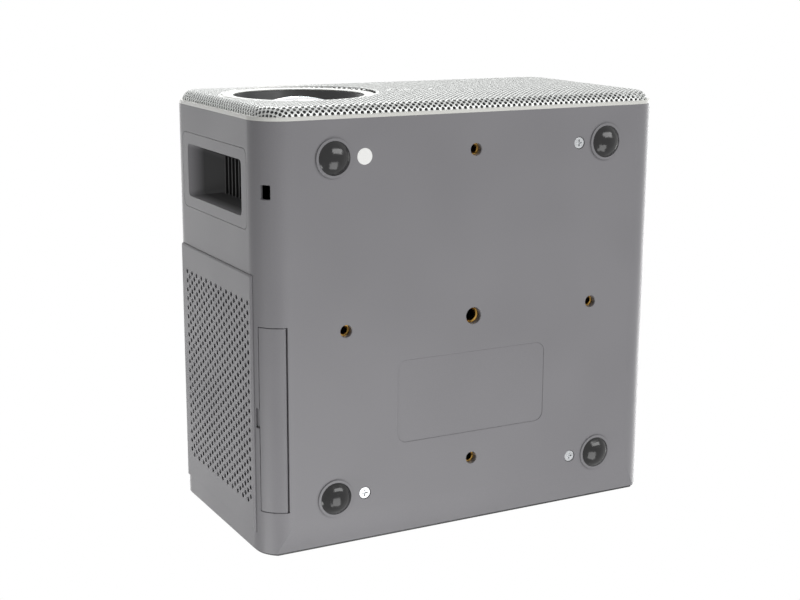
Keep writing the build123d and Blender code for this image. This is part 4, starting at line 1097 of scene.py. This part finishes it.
class PROJECTOR_OT_stage(ProjectorStep, Operator):
    """Set the white studio: floor, background, soft lamps and the camera"""

    bl_idname = "projector.stage"
    bl_label = "Studio and camera"

    def make(self, scene):
        stage = scene.projector_stage
        self.floor(stage)
        self.background(scene, stage)
        self.lamps()
        self.camera(scene, stage)
        scene.view_settings.view_transform = "Standard"

    def floor(self, stage):
        """White card that shows the shadow from above and lets a view from below through."""
        bpy.ops.mesh.primitive_plane_add(size=stage.floor_size)
        card = start("studio_floor", bpy.context.object)
        material, tree, shader, place = new_material("white_card", Roughness=0.9)
        paper = grain(tree, place, 40, detail=2.0)
        use(tree, shader, Base_Color=between(tree, paper, linear("#f3f3f2"), linear("#f6f6f5")))
        path = add(tree, "LightPath")
        seen = add(
            tree, "Math",
            {0: path.outputs["Is Camera Ray"],
             1: add(tree, "NewGeometry").outputs["Backfacing"]},
            operation="SUBTRACT", use_clamp=True,
        ).outputs[0]
        through = add(tree, "BsdfTransparent")
        shown = add(tree, "MixShader", {0: seen, 1: through.outputs[0], 2: shader.outputs[0]})
        tree.links.new(shown.outputs[0], tree.nodes["Material Output"].inputs["Surface"])
        card.data.materials.append(material)

    def background(self, scene, stage):
        """White to the camera and in reflections, and a plain level of light to the object."""
        world = bpy.data.worlds.new("studio")
        scene.world = world
        world.use_nodes = True
        tree = world.node_tree
        tree.nodes.clear()
        path = add(tree, "LightPath")
        shown = add(
            tree, "Math",
            {0: path.outputs["Is Camera Ray"], 1: path.outputs["Is Glossy Ray"]},
            operation="MAXIMUM",
        ).outputs[0]
        shown = add(
            tree, "Math", {0: shown, 1: path.outputs["Is Transmission Ray"]},
            operation="MAXIMUM",
        ).outputs[0]
        white = add(tree, "Background", {"Color": (1, 1, 1, 1), "Strength": 1.0})
        plain = add(tree, "Background", {"Color": (1, 1, 1, 1), "Strength": stage.ambient})
        mixed = add(tree, "MixShader", {0: shown, 1: plain.outputs[0], 2: white.outputs[0]})
        add(tree, "OutputWorld", {"Surface": mixed.outputs[0]})

    def lamps(self):
        """Big soft lamps all round, and two small ones close to the sides that show."""
        centre = (0, 0, 0.065)
        lamp("key_lamp", (0.55, -0.75, -1.02), centre, 1.3, 0.55, 11.5)
        lamp("front_lamp", (0.25, -1.25, 0.95), centre, 1.0, 1.0, 15)
        lamp("right_lamp", (1.3, 0.2, 0.7), centre, 1.0, 1.0, 10)
        lamp("top_lamp", (0.0, 0.1, 1.5), centre, 1.2, 1.2, 8)
        lamp("rear_lamp", (0.3, 1.1, 1.0), centre, 1.0, 1.0, 6)
        lamp("low_fill", (0.0, 0.30, -0.45), centre, 0.4, 0.4, 1.7)
        lamp("side_fill", (-0.5, 0.3, -0.05), centre, 0.25, 0.25, 1.2)

    def camera(self, scene, stage):
        """The photograph's point of view."""
        data = bpy.data.cameras.new("camera")
        data.lens = stage.focal
        data.sensor_width = 36.0
        holder = bpy.data.objects.new("camera", data)
        holder.location = stage.camera_place
        holder.rotation_euler = stage.camera_turn
        scene.collection.objects.link(holder)
        scene.camera = holder


class PROJECTOR_PT_panel(Panel):
    """The projector's steps and settings"""

    bl_label = "Mini Projector"
    bl_space_type = "VIEW_3D"
    bl_region_type = "UI"
    bl_category = "Projector"

    def draw(self, context):
        for step in STEPS:
            self.layout.operator(step.bl_idname)
        for name in SETTINGS:
            group = getattr(context.scene, name)
            column = self.layout.column()
            for key in group.__annotations__:
                column.prop(group, key)


STEPS = (
    PROJECTOR_OT_finish_parts,
    PROJECTOR_OT_front_sheet,
    PROJECTOR_OT_feet,
    PROJECTOR_OT_inserts,
    PROJECTOR_OT_stage,
)
SETTINGS = {
    "projector_finish": ProjectorFinish,
    "projector_sheet": ProjectorSheet,
    "projector_hardware": ProjectorHardware,
    "projector_stage": ProjectorStage,
}


def register():
    for name, group in SETTINGS.items():
        bpy.utils.register_class(group)
        setattr(bpy.types.Scene, name, PointerProperty(type=group))
    for step in STEPS:
        bpy.utils.register_class(step)
    bpy.utils.register_class(PROJECTOR_PT_panel)


def unregister():
    bpy.utils.unregister_class(PROJECTOR_PT_panel)
    for step in reversed(STEPS):
        bpy.utils.unregister_class(step)
    for name, group in SETTINGS.items():
        delattr(bpy.types.Scene, name)
        bpy.utils.unregister_class(group)


def main():
    """Register the add-on, then make every piece and set the stage."""
    register()
    for step in STEPS:
        family, name = step.bl_idname.split(".")
        getattr(getattr(bpy.ops, family), name)()


if __name__ == "__main__":
    main()
